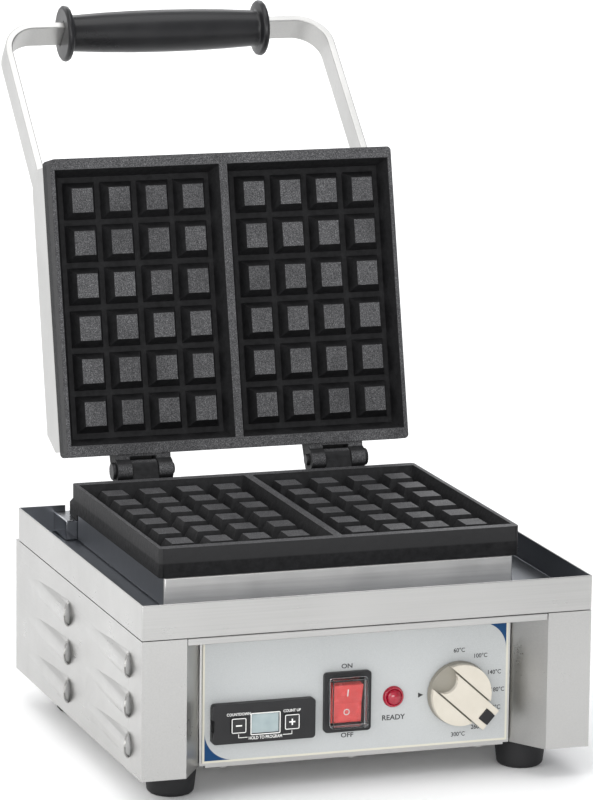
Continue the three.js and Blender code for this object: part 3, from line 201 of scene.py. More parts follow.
def satin_steel(name, grain, tone=(0.455, 0.452, 0.442), roughness=0.30, inside=None):
    """Brushed sheet steel, its grain along x, y or z, with painted shade darkening it within the box
    given as inside.
    """
    steel = Finish(name)
    stretch = {"x": (9, 900, 900), "y": (900, 9, 900), "z": (900, 900, 9)}[grain]
    lines = steel.noise(steel.stretched(stretch), 1.0, 2.0, 0.6)
    clouds = steel.noise(steel.place, 9.0, 2.0)
    smears = steel.noise(steel.place, 38.0, 4.0, 0.6)
    dark = tuple(0.91 * level for level in tone)
    colour = steel.blend(steel.between(lines, 0.3, 0.7), (*dark, 1), (*tone, 1))
    pale = tuple(1.12 * level for level in tone)
    colour = steel.blend(steel.between(clouds, 0.35, 0.75, 0.0, 0.6), colour, (*pale, 1))
    # Painted shade: inside the box, away from its outer faces, the steel is painted dark.
    if inside:
        (_, y0, _), (x1, y1, _) = inside
        spot = steel.node("SeparateXYZ", {0: steel.place}).outputs
        across = steel.math("LESS_THAN", steel.math("ABSOLUTE", spot[0]), x1 - sheet_edge)
        along = steel.math("MULTIPLY", steel.math("GREATER_THAN", spot[1], y0 + sheet_edge),
                           steel.math("LESS_THAN", spot[1], y1 - sheet_edge))
        colour = steel.blend(steel.math("MULTIPLY", across, along), colour, shaded_steel)
    gloss = steel.math("ADD", steel.between(lines, 0.2, 0.8, -0.03, 0.04),
                       steel.between(smears, 0.3, 0.75, roughness - 0.03, roughness + 0.07))
    steel.set(Base_Color=colour, Metallic=1.0, Roughness=gloss)
    steel.bump((lines, 0.03, 0.0002), (clouds, 0.05, 0.004))
    return steel.material


merge_distance = 2e-6
flat_angle, sharp_angle = math.radians(0.5), math.radians(30)


def softened(node, radius, material, body="housing", shortest=0.004, whole=True):
    """A copy of a CAD solid with its longer edges rounded; whole joins its facets into flat faces."""
    work = bmesh.new()
    work.from_mesh(nodes[node].data)
    bmesh.ops.remove_doubles(work, verts=work.verts, dist=merge_distance)
    if whole:
        bmesh.ops.dissolve_limit(work, angle_limit=flat_angle, verts=work.verts, edges=work.edges)
    bmesh.ops.recalc_face_normals(work, faces=work.faces)
    weight = work.edges.layers.float.new("bevel_weight_edge")
    for edge in work.edges:
        if len(edge.link_faces) == 2 and edge.calc_length() >= shortest:
            if edge.calc_face_angle() > sharp_angle:
                edge[weight] = 1.0
    mesh = bpy.data.meshes.new(node + "_finished")
    work.to_mesh(mesh)
    work.free()
    for face in mesh.polygons:
        face.use_smooth = True
    mesh.set_sharp_from_angle(angle=sharp_angle)
    piece = bpy.data.objects.new(node + "_finished", mesh)
    bpy.context.scene.collection.objects.link(piece)
    mesh.materials.append(material)
    bevel = piece.modifiers.new("rounded_edges", "BEVEL")
    bevel.limit_method = "WEIGHT"
    bevel.width = radius
    bevel.segments = 3
    bevel.harden_normals = True
    bevel.use_clamp_overlap = True
    even = piece.modifiers.new("even_shading", "WEIGHTED_NORMAL")
    even.weight = 100
    even.keep_sharp = True
    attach(piece, body)
    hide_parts(node)
    return piece


upright_steel = satin_steel("satin_steel_upright", "z")
level_steel = satin_steel("satin_steel_level", "x")
lengthways_steel = satin_steel("satin_steel_lengthways", "y")
for node in ("side_panel_left", "side_panel_right"):
    softened(node, 0.0008, lengthways_steel, shortest=0.02, whole=False)

# Just inside each louver's mouth stands a small baffle, pressed to the louver's own oval, which keeps
# drips out. The six on a side repeat in rows and columns.
baffle_tree = bpy.data.node_groups.new("louver_baffles", "GeometryNodeTree")
for label, kind in (("Rows", "Int"), ("Columns", "Int"), ("Width", "Float"), ("Height", "Float"),
                    ("Middle", "Vector"), ("Oval", "Vector"), ("Thickness", "Float"),
                    ("Finish", "Material")):
    baffle_tree.interface.new_socket(label, in_out="INPUT", socket_type="NodeSocket" + kind)
baffle_tree.interface.new_socket("Baffles", in_out="OUTPUT", socket_type="NodeSocketGeometry")


def tree_node(tree, kind, values=None, **settings):
    made = tree.nodes.new(kind)
    for key, value in settings.items():
        setattr(made, key, value)
    for key, value in (values or {}).items():
        if isinstance(value, bpy.types.NodeSocket):
            tree.links.new(value, made.inputs[key])
        else:
            made.inputs[key].default_value = value
    return made


baffle_sizes = tree_node(baffle_tree, "NodeGroupInput").outputs
grid = tree_node(baffle_tree, "GeometryNodeMeshGrid", {
    "Size X": baffle_sizes["Width"], "Size Y": baffle_sizes["Height"],
    "Vertices X": baffle_sizes["Columns"], "Vertices Y": baffle_sizes["Rows"]})
stood = tree_node(baffle_tree, "GeometryNodeTransform", {
    "Geometry": grid.outputs["Mesh"], "Translation": baffle_sizes["Middle"],
    "Rotation": (math.pi / 2, 0, math.pi / 2)})
disc = tree_node(baffle_tree, "GeometryNodeMeshCylinder", {
    "Vertices": 40, "Radius": 1.0, "Depth": baffle_sizes["Thickness"]})
upright_disc = tree_node(baffle_tree, "GeometryNodeTransform", {
    "Geometry": disc.outputs["Mesh"], "Rotation": (math.pi / 2, 0, 0)})
oval_disc = tree_node(baffle_tree, "GeometryNodeTransform", {
    "Geometry": upright_disc.outputs[0], "Scale": baffle_sizes["Oval"]})
spread = tree_node(baffle_tree, "GeometryNodeInstanceOnPoints", {
    "Points": stood.outputs[0], "Instance": oval_disc.outputs[0]})
solid_baffles = tree_node(baffle_tree, "GeometryNodeRealizeInstances", {"Geometry": spread.outputs[0]})
steel_baffles = tree_node(baffle_tree, "GeometryNodeSetMaterial", {
    "Geometry": solid_baffles.outputs[0], "Material": baffle_sizes["Finish"]})
tree_node(baffle_tree, "NodeGroupOutput", {"Baffles": steel_baffles.outputs[0]})


def grown(name, tree, **inputs):
    """Runs a node tree once and keeps what it makes as a plain mesh."""
    seed = bpy.data.objects.new(name + "_seed", bpy.data.meshes.new(name + "_seed"))
    bpy.context.scene.collection.objects.link(seed)
    modifier = seed.modifiers.new("nodes", "NODES")
    modifier.node_group = tree
    for item in tree.interface.items_tree:
        if item.in_out == "INPUT" and item.name in inputs:
            modifier[item.identifier] = inputs[item.name]
    seen = bpy.context.evaluated_depsgraph_get()
    mesh = bpy.data.meshes.new_from_object(seed.evaluated_get(seen))
    bpy.data.objects.remove(seed)
    piece = bpy.data.objects.new(name, mesh)
    bpy.context.scene.collection.objects.link(piece)
    for face in mesh.polygons:
        face.use_smooth = True
    mesh.set_sharp_from_angle(angle=math.radians(40))
    return piece


# Painted light: the baffle steel is painted much paler than the sheet around it, so that the louver
# mouths show light.
baffle_steel = satin_steel("satin_steel_baffle", "z", (0.80, 0.80, 0.79), 0.5)
louver_pitch_along, louver_pitch_up = 0.140, 0.0526
louvers_from_front, louvers_from_bottom = 0.024, 0.017
baffle_set_back = 0.0060
baffle_from_centre = 0.1506
baffle_half_width, baffle_half_height = 0.0045, 0.0078
baffle_thickness = 0.0006
for side, sign in (("left", -1), ("right", 1)):
    panel_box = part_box(f"side_panel_{side}")
    baffle_middle = Vector((
        sign * baffle_from_centre,
        panel_box[0].y + louvers_from_front + louver_pitch_along / 2 + baffle_set_back,
        panel_box[0].z + louvers_from_bottom + louver_pitch_up / 2,
    ))
    baffles = grown(f"louver_baffles_{side}", baffle_tree, **{
        "Rows": 3, "Columns": 2, "Width": louver_pitch_along, "Height": louver_pitch_up,
        "Middle": baffle_middle, "Oval": Vector((baffle_half_width, 1.0, baffle_half_height)),
        "Thickness": baffle_thickness, "Finish": baffle_steel,
    })
    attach(baffles, "housing")
for node in ("front_rail", "rear_panel", "control_panel", "base_plate"):
    softened(node, 0.0004, level_steel, shortest=0.02)

# ---------------------------------------------------------------- drip tray, rear deck and plate box
# The tray closes the housing and has a deep upright band welded round it, cut away at the rear. The
# deck behind and the box that carries the lower plate are folded from the same stainless sheet.
# Painted shade: the tray's inner faces and floor are painted darker than its outer faces.
tray_steel = satin_steel("satin_steel_tray", "x", inside=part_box("drip_tray"))
softened("drip_tray", 0.0006, tray_steel, shortest=0.01, whole=False)
trough_steel = satin_steel("satin_steel_trough", "x", (0.40, 0.41, 0.43), 0.20)
softened("rear_deck", 0.0008, trough_steel, shortest=0.01)
# Painted highlight and painted shade: the box steel is painted much paler than the housing steel so
# that its front face shows bright, and every face behind the front one is painted dark.
box_low, box_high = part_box("plate_box")
box_steel = satin_steel("satin_steel_box", "x", (0.86, 0.85, 0.83), 0.45, inside=(
    (-1, box_low.y, 0), (1, box_high.y + 1, 0)))
softened("plate_box", 0.0012, box_steel, shortest=0.01, whole=False)


def finished(node, material):
    """Gives a CAD solid that stays as it is its own finish."""
    nodes[node].data.materials.clear()
    nodes[node].data.materials.append(material)


finished("heat_pan", trough_steel)


# ---------------------------------------------------------------- cast-iron grid plates
# Two sand castings with two waffle cavities each and a grid of tapered pegs. The edges are rounded
# as cast; rims and peg tops are greyer than the walls and the grooves, partly from rubbing wear and
# partly as a painted highlight with painted glints.
hinge = next(j for j in frame["joints"] if j["name"] == "lid_hinge")
hinge_point = Vector(hinge["pos_m"])
lid_opening = math.radians(hinge["range_deg"][1])
lid_open = (
    Matrix.Translation(hinge_point)
    @ Matrix.Rotation(-lid_opening, 4, "X")
    @ Matrix.Translation(-hinge_point)
)
skin_fades = (0.0105, 0.0095)
rubbing_and_highlight_fades = (0.0036, 0.0022)


def cast_iron(name, face_normal, face_offset):
    """Rough black iron, greyer within a few millimetres of the mating face."""
    iron = Finish(name)
    height = iron.node("VectorMath", {0: iron.place, 1: face_normal}, operation="DOT_PRODUCT")
    depth = iron.math("SUBTRACT", face_offset, height.outputs["Value"])
    normal = iron.node("NewGeometry").outputs["Normal"]
    facing = iron.node(
        "VectorMath", {0: normal, 1: face_normal}, operation="DOT_PRODUCT").outputs["Value"]
    sand = iron.noise(iron.place, 1500.0, 2.0, 0.7)
    lumps = iron.noise(iron.place, 260.0, 4.0, 0.6)
    patches = iron.noise(iron.place, 22.0, 3.0, 0.55)
    sparkle = iron.between(sand, 0.45, 0.72)
    body_colour = iron.blend(
        iron.between(lumps, 0.3, 0.7), (0.005, 0.005, 0.0055, 1), (0.013, 0.013, 0.014, 1))
    skin = iron.math(
        "MULTIPLY", iron.between(depth, *skin_fades), iron.between(facing, 0.30, 0.10))
    body_colour = iron.blend(
        iron.math("MULTIPLY", skin, 0.8), body_colour, (0.030, 0.030, 0.031, 1))
    # Wear and painted highlight: the rims and peg tops get a greyer colour with painted glints.
    worn_and_highlit = iron.blend(sparkle, (0.035, 0.035, 0.037, 1), (0.20, 0.20, 0.205, 1))
    near_top = iron.math(
        "MULTIPLY", iron.between(depth, *rubbing_and_highlight_fades), iron.between(facing, 0.80, 0.98))
    rubbed_and_highlit = iron.math(
        "MULTIPLY", near_top, iron.between(patches, 0.25, 0.6, 0.55, 1.0), clamp=True)
    iron.set(
        Base_Color=iron.blend(rubbed_and_highlit, body_colour, worn_and_highlit),
        Metallic=0.0,
        Specular_IOR_Level=0.22,
        Roughness=iron.between(iron.math("ADD", lumps, rubbed_and_highlit), 0.3, 1.5, 0.66, 0.50),
    )
    iron.bump((lumps, 0.35, 0.0008), (sand, 0.35, 0.0003))
    return iron.material


lower_face_z, upper_face_z = 0.1568, 0.1573
face_out = lid_open.to_3x3() @ Vector((0, 0, -1))
upper_face = face_out.dot(lid_open @ Vector((0, 0, upper_face_z)))
lower_iron = cast_iron("cast_iron_lower", (0, 0, 1), lower_face_z)
upper_iron = cast_iron("cast_iron_upper", tuple(face_out), upper_face)
softened("lower_grid_plate", 0.0009, lower_iron, shortest=0.003)
softened("upper_grid_plate", 0.0009, upper_iron, "lid", shortest=0.003)

# ---------------------------------------------------------------- hinge pins
# Turned steel pins with a flat head, blacked with the castings. Each is fast in the lid's fork and
# turns in the tongue of the lower casting.
blacked = Finish("blacked_steel")
blacked_grain = blacked.noise(blacked.place, 900.0, 3.0, 0.6)
blacked.set(
    Base_Color=blacked.blend(
        blacked.between(blacked_grain, 0.35, 0.7), (0.010, 0.010, 0.011, 1), (0.035, 0.035, 0.037, 1)),
    Metallic=0.6, Roughness=blacked.between(blacked_grain, 0.3, 0.7, 0.42, 0.55),
)
blacked.bump((blacked_grain, 0.3, 0.0002))
for side in ("left", "right"):
    softened(f"hinge_pin_{side}", 0.0007, blacked.material, "lid", shortest=0.0008)

# ---------------------------------------------------------------- lid cover and handle
# A bevelled stainless cover is folded over the lid's heating parts. The handle is one flat steel bar
# bent to a wide U, bolted inside the cover, and pushed through a moulded black grip.
softened("lid_cover", 0.0012, upright_steel, "lid", shortest=0.01)
softened("handle_bar", 0.0007, upright_steel, "lid", shortest=0.002)


def moulded_plastic(name, colour, roughness, grain):
    """Dark moulded plastic or rubber with a fine grain of the given strength."""
    plastic = Finish(name)
    texture = plastic.noise(plastic.place, 1400.0, 2.0, 0.6)
    clouds = plastic.noise(plastic.place, 40.0, 3.0)
    pale = tuple(min(1.0, 1.25 * level + 0.004) for level in colour)
    plastic.set(
        Base_Color=plastic.blend(plastic.between(clouds, 0.3, 0.75), (*colour, 1), (*pale, 1)),
        Roughness=plastic.between(clouds, 0.3, 0.7, roughness - 0.05, roughness + 0.06),
        Specular_IOR_Level=0.32,
    )
    plastic.bump((texture, grain, 0.0001))
    return plastic.material


grip_plastic = moulded_plastic("grip_plastic", (0.008, 0.008, 0.009), 0.32, 0.15)
softened("handle_grip", 0.0008, grip_plastic, "lid", shortest=0.003)

# ---------------------------------------------------------------- feet
# Four turned black rubber feet, each held up by a screw in its well. Matt, with a fine moulded grain.
foot_rubber = moulded_plastic("foot_rubber", (0.010, 0.010, 0.011), 0.60, 0.35)
zinc = Finish("zinc_plate")
zinc_grain = zinc.noise(zinc.place, 700.0, 3.0, 0.6)
zinc.set(
    Base_Color=zinc.blend(
        zinc.between(zinc_grain, 0.3, 0.7), (0.60, 0.60, 0.59, 1), (0.85, 0.84, 0.82, 1)),
    Metallic=1.0, Roughness=zinc.between(zinc_grain, 0.3, 0.7, 0.28, 0.42),
)
zinc.bump((zinc_grain, 0.12, 0.0001))
for end in ("front", "rear"):
    for side in ("left", "right"):
        softened(f"foot_{end}_{side}", 0.0010, foot_rubber, shortest=0.003)
        finished(f"foot_screw_{end}_{side}", zinc.material)

# ---------------------------------------------------------------- screws under the control panel
# Three plated round-head screws, with a cross recess, driven up through the panel's bottom lip.
screw_tree = bpy.data.node_groups.new("row_of_screws", "GeometryNodeTree")
for label, kind in (("Count", "Int"), ("Start", "Vector"), ("Step", "Vector"), ("Head Radius", "Float"),
                    ("Head Height", "Float"), ("Shank Radius", "Float"), ("Shank Length", "Float"),
                    ("Recess Width", "Float"), ("Finish", "Material")):
    screw_tree.interface.new_socket(label, in_out="INPUT", socket_type="NodeSocket" + kind)
screw_tree.interface.new_socket("Screws", in_out="OUTPUT", socket_type="NodeSocketGeometry")


def screw_node(kind, values=None, **settings):
    return tree_node(screw_tree, kind, values, **settings)


screw_sizes = screw_node("NodeGroupInput").outputs
ball = screw_node("GeometryNodeMeshUVSphere", {"Segments": 32, "Rings": 16, "Radius": 1.0})
head_scale = screw_node("ShaderNodeCombineXYZ", {
    0: screw_sizes["Head Radius"], 1: screw_sizes["Head Radius"], 2: screw_sizes["Head Height"]})
dome = screw_node("GeometryNodeTransform", {
    "Geometry": ball.outputs["Mesh"], "Scale": head_scale.outputs[0]})
position = screw_node("GeometryNodeInputPosition")
where = screw_node("ShaderNodeSeparateXYZ", {0: position.outputs[0]})
flat_top = screw_node("ShaderNodeMath", {0: where.outputs[2], 1: 0.0}, operation="MINIMUM")
flattened = screw_node("ShaderNodeCombineXYZ", {
    0: where.outputs[0], 1: where.outputs[1], 2: flat_top.outputs[0]})
head = screw_node("GeometryNodeSetPosition", {
    "Geometry": dome.outputs[0], "Position": flattened.outputs[0]})
recess_length = screw_node(
    "ShaderNodeMath", {0: screw_sizes["Head Radius"], 1: 1.05}, operation="MULTIPLY")
cross = []
for slender in ("x", "y"):
    across = screw_sizes["Recess Width"] if slender == "x" else recess_length.outputs[0]
    along = screw_sizes["Recess Width"] if slender == "y" else recess_length.outputs[0]
    block = screw_node("ShaderNodeCombineXYZ", {0: across, 1: along, 2: screw_sizes["Head Height"]})
    cross.append(screw_node("GeometryNodeMeshCube", {"Size": block.outputs[0]}))
drop = screw_node("ShaderNodeMath", {0: screw_sizes["Head Height"], 1: -1.05}, operation="MULTIPLY")
recess_place = screw_node("ShaderNodeCombineXYZ", {2: drop.outputs[0]})
recessed = head
for block in cross:
    lowered = screw_node("GeometryNodeTransform", {
        "Geometry": block.outputs["Mesh"], "Translation": recess_place.outputs[0]})
    cutter = screw_node(
        "GeometryNodeMeshBoolean", {"Mesh 1": recessed.outputs[0]}, operation="DIFFERENCE")
    screw_tree.links.new(lowered.outputs[0], cutter.inputs["Mesh 2"])
    recessed = cutter
shank = screw_node("GeometryNodeMeshCylinder", {
    "Vertices": 24, "Radius": screw_sizes["Shank Radius"], "Depth": screw_sizes["Shank Length"]})
half_shank = screw_node(
    "ShaderNodeMath", {0: screw_sizes["Shank Length"], 1: 0.45}, operation="MULTIPLY")
shank_place = screw_node("ShaderNodeCombineXYZ", {2: half_shank.outputs[0]})
raised = screw_node("GeometryNodeTransform", {
    "Geometry": shank.outputs["Mesh"], "Translation": shank_place.outputs[0]})
whole = screw_node("GeometryNodeJoinGeometry")
screw_tree.links.new(raised.outputs[0], whole.inputs[0])
screw_tree.links.new(recessed.outputs[0], whole.inputs[0])
row = screw_node("GeometryNodeMeshLine", {
    "Count": screw_sizes["Count"], "Start Location": screw_sizes["Start"],
    "Offset": screw_sizes["Step"]})
placed = screw_node("GeometryNodeInstanceOnPoints", {
    "Points": row.outputs[0], "Instance": whole.outputs[0]})
real = screw_node("GeometryNodeRealizeInstances", {"Geometry": placed.outputs[0]})
coated = screw_node("GeometryNodeSetMaterial", {
    "Geometry": real.outputs[0], "Material": screw_sizes["Finish"]})
screw_node("NodeGroupOutput", {"Screws": coated.outputs[0]})

head_height, shank_radius, recess_width = 0.0029, 0.002, 0.0010
first_low, first_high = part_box("panel_screw_left")
last_low, last_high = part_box("panel_screw_right")
head_radius = (first_high.x - first_low.x) / 2
first_middle = (first_low + first_high) / 2
screw_start = Vector((first_middle.x, first_middle.y, first_low.z + head_height))
screw_end_x = (last_low.x + last_high.x) / 2
panel_screws = grown("panel_screws", screw_tree, **{
    "Count": 3, "Start": screw_start, "Step": Vector(((screw_end_x - screw_start.x) / 2, 0, 0)),
    "Head Radius": head_radius, "Head Height": head_height, "Shank Radius": shank_radius,
    "Shank Length": first_high.z - screw_start.z, "Recess Width": recess_width,
    "Finish": zinc.material,
})
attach(panel_screws, "housing")
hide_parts("panel_screw_left", "panel_screw_middle", "panel_screw_right")

# ---------------------------------------------------------------- control overlay
# A printed polyester film glued to the panel: silver grey with a fine metallic grain, an ivory line
# round the edge and a blue corner at the lower left and the upper right, each cut off by an arc.
panel_low, panel_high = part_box("control_overlay")
film = Finish("overlay_film")
spot = film.node("SeparateXYZ", {0: film.place}).outputs


def corner_mask(x, z, radius, sign):
    """One where a corner lies outside the arc about (x, z)."""
    dx = film.math("MULTIPLY", film.math("SUBTRACT", spot[0], x), sign)
    dz = film.math("MULTIPLY", film.math("SUBTRACT", spot[2], z), sign)
    squares = film.math("ADD", film.math("MULTIPLY", dx, dx), film.math("MULTIPLY", dz, dz))
    reach = film.math("SQRT", squares)
    beyond = film.between(reach, radius - 0.0001, radius + 0.0001)
    here = film.math("MULTIPLY", film.math("GREATER_THAN", dx, 0.0), film.math("GREATER_THAN", dz, 0.0))
    return film.math("MULTIPLY", beyond, here)


ivory_line = 0.0014
lower_arc, upper_arc = 0.0195, 0.0185
upper_arc_rise = 0.0616
lower_blue = corner_mask(
    panel_low.x + ivory_line + lower_arc, panel_low.z + ivory_line + lower_arc, lower_arc, -1.0)
upper_blue = corner_mask(
    panel_high.x - ivory_line - upper_arc, panel_low.z + upper_arc_rise, upper_arc, 1.0)
blue_part = film.math("MAXIMUM", lower_blue, upper_blue)
edge_x = film.math("SUBTRACT", panel_high.x - ivory_line, film.math("ABSOLUTE", spot[0]))
edge_low = film.math("SUBTRACT", spot[2], panel_low.z + ivory_line)
edge = film.math("MINIMUM", edge_x, edge_low)
on_line = film.between(edge, 0.00005, -0.00005)
film_grain = film.noise(film.place, 2600.0, 2.0, 0.7)
film_wave = film.noise(film.place, 14.0, 2.0)
silver = film.blend(
    film.between(film_grain, 0.3, 0.7), (0.42, 0.435, 0.435, 1), (0.50, 0.515, 0.515, 1))
silver = film.blend(
    film.between(film_wave, 0.35, 0.7, 0.0, 0.3), silver, (0.53, 0.545, 0.545, 1))
printed_blue = film.blend(
    film.between(film_grain, 0.3, 0.7), (0.002, 0.040, 0.125, 1), (0.003, 0.050, 0.150, 1))
ivory = (0.62, 0.60, 0.51, 1)
film.set(
    Base_Color=film.blend(on_line, film.blend(blue_part, silver, printed_blue), ivory),
    Metallic=0.0, Specular_IOR_Level=0.2, Roughness=film.between(film_wave, 0.3, 0.7, 0.40, 0.50),
)
film.bump((film_grain, 0.08, 0.0001))
finished("control_overlay", film.material)

# ---------------------------------------------------------------- printed lettering
# The legends are screen-printed in black on the film: the dial's numbers, ON, OFF, READY, and a small
# triangle that the dial is read against. Each is a thin plate laid on the face it is printed on.
film_margin = 0.0018
ink_half_depth, ink_gap = 0.00004, 0.00006
cap_height_of_font = 0.70
panel_base = panel_low.z - film_margin
print_face = panel_low.y - ink_gap


def laid_print(parts, name, material, body="housing"):
    """Joins flat meshes drawn upright (x across, y up) and lays each on the face given with it."""
    work = bmesh.new()
    for mesh, across, up, face in parts:
        mesh.transform(Matrix.Translation((across, face, up)) @ Matrix.Rotation(math.pi / 2, 4, "X"))
        work.from_mesh(mesh)
        bpy.data.meshes.remove(mesh)
    joined = bpy.data.meshes.new(name)
    work.to_mesh(joined)
    work.free()
    joined.materials.clear()
    joined.materials.append(material)
    piece = bpy.data.objects.new(name, joined)
    bpy.context.scene.collection.objects.link(piece)
    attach(piece, body)
    return piece


def words(text, height, squeeze=1.0, weight=0.00007):
    curve = bpy.data.curves.new("legend", "FONT")
    curve.body = text
    curve.size = height / cap_height_of_font
    curve.align_x, curve.align_y = "CENTER", "CENTER"
    curve.extrude = ink_half_depth
    curve.offset = weight
    curve.resolution_u = 4
    holder = bpy.data.objects.new("legend", curve)
    bpy.context.scene.collection.objects.link(holder)
    seen = bpy.context.evaluated_depsgraph_get()
    mesh = bpy.data.meshes.new_from_object(holder.evaluated_get(seen))
    bpy.data.objects.remove(holder)
    mesh.transform(Matrix.Diagonal((squeeze, 1, 1, 1)))
    return mesh


def flat_shape(loops):
    """A thin plate from one outline, or a thin frame from an outer and an inner one."""
    work = bmesh.new()
    rings = []
    for level in (ink_half_depth, -ink_half_depth):
        rings.append([[work.verts.new((x, y, level)) for x, y in loop] for loop in loops])
    front, back = rings
    count = len(loops[0])
    for k in range(len(loops)):
        for i in range(count):
            j = (i + 1) % count
            corners = (back[k][i], back[k][j], front[k][j], front[k][i])
            work.faces.new(corners if k == 0 else corners[::-1])
    if len(loops) == 1:
        work.faces.new(front[0])
        work.faces.new(back[0][::-1])
    else:
        for i in range(count):
            j = (i + 1) % count
            work.faces.new((front[0][i], front[0][j], front[1][j], front[1][i]))
            work.faces.new((back[0][j], back[0][i], back[1][i], back[1][j]))
    mesh = bpy.data.meshes.new("flat")
    work.to_mesh(mesh)
    work.free()
    return mesh


def soft_square(half_x, half_y, radius):
    """The outline of a rectangle with rounded corners."""
    steps = 6
    points = []
    for turn, (sx, sy) in enumerate(((1, 1), (-1, 1), (-1, -1), (1, -1))):
        for i in range(steps + 1):
            angle = math.pi / 2 * (turn + i / steps)
            points.append((sx * (half_x - radius) + radius * math.cos(angle),
                           sy * (half_y - radius) + radius * math.sin(angle)))
    return points


def outlined(half_x, half_y, radius, line):
    return flat_shape([soft_square(half_x, half_y, radius),
                       soft_square(half_x - line, half_y - line, max(radius - line, 0.0001))])


def ink(name, colour):
    pigment = Finish(name)
    speckle = pigment.noise(pigment.place, 1800.0, 3.0, 0.6)
    lighter = tuple(min(1.0, 1.2 * level + 0.01) for level in colour)
    pigment.set(
        Base_Color=pigment.blend(
            pigment.between(speckle, 0.35, 0.75), (*colour, 1), (*lighter, 1)),
        Roughness=pigment.between(speckle, 0.3, 0.7, 0.45, 0.55),
    )
    pigment.bump((speckle, 0.05, 0.00005))
    return pigment.material


black_ink = ink("black_ink", (0.015, 0.015, 0.016))
dial_x, dial_z = 0.0704, panel_base + 0.0362
dial_reach, dial_rise = 0.0270, 0.0282
triangle = [(-0.0018, -0.0017), (0.0018, 0.0), (-0.0018, 0.0017)]
legends = [(words("ON", 0.0030, 1.15), -0.0068, panel_base + 0.0594, print_face),
           (words("OFF", 0.0030, 1.15), -0.0062, panel_base + 0.0133, print_face),
           (words("READY", 0.0034, 1.05), 0.0254, panel_base + 0.0227, print_face),
           (flat_shape([triangle]), 0.0441, panel_base + 0.0364, print_face)]
dial_marks = ((60, 90), (100, 57), (140, 25), (180, 0), (220, -25), (260, -59), (300, -90))
for degree, bearing in dial_marks:
    angle = math.radians(bearing)
    legends.append((
        words(f"{degree}°C", 0.0028, 0.95, 0.00004),
        dial_x + dial_reach * math.cos(angle), dial_z + dial_rise * math.sin(angle), print_face))
laid_print(legends, "panel_legends", black_ink)

# ---------------------------------------------------------------- thermostat knob
# One cream moulding: a disc with a channel across it, a bar that runs out past the rim as the
# pointer, and a black inlay in the pointer's tip. The channel is painted darker the deeper it lies, as
# painted shade.
knob_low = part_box("thermostat_knob")[0]
cream = Finish("knob_cream")
cream_grain = cream.noise(cream.place, 1300.0, 2.0, 0.6)
cream_wave = cream.noise(cream.place, 60.0, 3.0)
cream_place = cream.node("SeparateXYZ", {0: cream.place}).outputs
# Painted shade: the cream is painted darker on the parts that lie deeper than the knob's front.
channel_depth = cream.math("SUBTRACT", cream_place[1], knob_low.y)
channel_shade = cream.between(channel_depth, 0.0026, 0.0046, 0.0, 0.78)
cream_base = cream.blend(
    cream.between(cream_wave, 0.3, 0.7), (0.55, 0.51, 0.43, 1), (0.61, 0.57, 0.49, 1))
cream.set(
    Base_Color=cream.blend(channel_shade, cream_base, (0.17, 0.16, 0.13, 1)),
    Roughness=cream.between(cream_wave, 0.3, 0.7, 0.38, 0.48),
)
cream.bump((cream_grain, 0.10, 0.0001))
softened("thermostat_knob", 0.0005, cream.material, "knob", shortest=0.002)
case_plastic = moulded_plastic("case_plastic", (0.011, 0.011, 0.012), 0.36, 0.30)
softened("knob_pointer_inlay", 0.0003, case_plastic, "knob", shortest=0.002)
finished("thermostat_spindle", zinc.material)
finished("thermostat_body", zinc.material)

# ---------------------------------------------------------------- indicator lamp
# A crimson moulded lens: a low flange, a groove, and a dome over the neon lamp behind the panel.
lens_low, lens_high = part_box("lamp_lens")
lens_centre = (lens_low + lens_high) / 2
lens_radius = (lens_high.x - lens_low.x) / 2
lens_height = lens_high.y - lens_low.y


def turned(name, profile, centre, material):
    """A turned piece: profile points (radius, distance out) spun about a line towards the front."""
    work = bmesh.new()
    segments = 64
    turns = [2 * math.pi * i / segments for i in range(segments)]
    rings = [[work.verts.new((
        centre.x + r * math.cos(turn), centre.y - out, centre.z + r * math.sin(turn),
    )) for turn in turns] for r, out in profile]
    for near, far in zip(rings, rings[1:]):
        for i in range(segments):
            work.faces.new((near[i], near[(i + 1) % segments], far[(i + 1) % segments], far[i]))
    work.faces.new(rings[0])
    work.faces.new(rings[-1])
    bmesh.ops.recalc_face_normals(work, faces=work.faces)
    mesh = bpy.data.meshes.new(name)
    work.to_mesh(mesh)
    work.free()
    for face in mesh.polygons:
        face.use_smooth = True
    mesh.set_sharp_from_angle(angle=math.radians(40))
    mesh.materials.append(material)
    piece = bpy.data.objects.new(name, mesh)
    bpy.context.scene.collection.objects.link(piece)
    return piece


crimson = Finish("crimson_lens")
lens_flutes = crimson.noise(crimson.place, 420.0, 2.0)
crimson.set(
    Base_Color=crimson.blend(
        crimson.between(lens_flutes, 0.3, 0.7), (0.28, 0.0005, 0.014, 1), (0.40, 0.001, 0.026, 1)),
    Roughness=crimson.between(lens_flutes, 0.3, 0.7, 0.10, 0.18),
    Coat_Weight=0.6, Coat_Roughness=0.08,
)
crimson.bump((lens_flutes, 0.05, 0.0002))
flange_width, flange_height, groove_height = 0.0021, 0.0019, 0.0012
dome_radius, dome_height = lens_radius - flange_width, lens_height - 0.0013
lens_profile = [(lens_radius, 0.0), (lens_radius - 0.0003, groove_height),
                (lens_radius - 0.0010, flange_height), (lens_radius - 0.0016, flange_height),
                (dome_radius, groove_height)]
for step in range(1, 13):
    angle = math.pi / 2 * step / 12.5
    lens_profile.append((
        dome_radius * math.cos(angle), groove_height + dome_height * math.sin(angle)))
lens_seat = Vector((lens_centre.x, lens_high.y, lens_centre.z))
lens = turned("lamp_dome", lens_profile, lens_seat, crimson.material)
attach(lens, "housing")
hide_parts("lamp_lens")
finished("lamp_body", case_plastic)

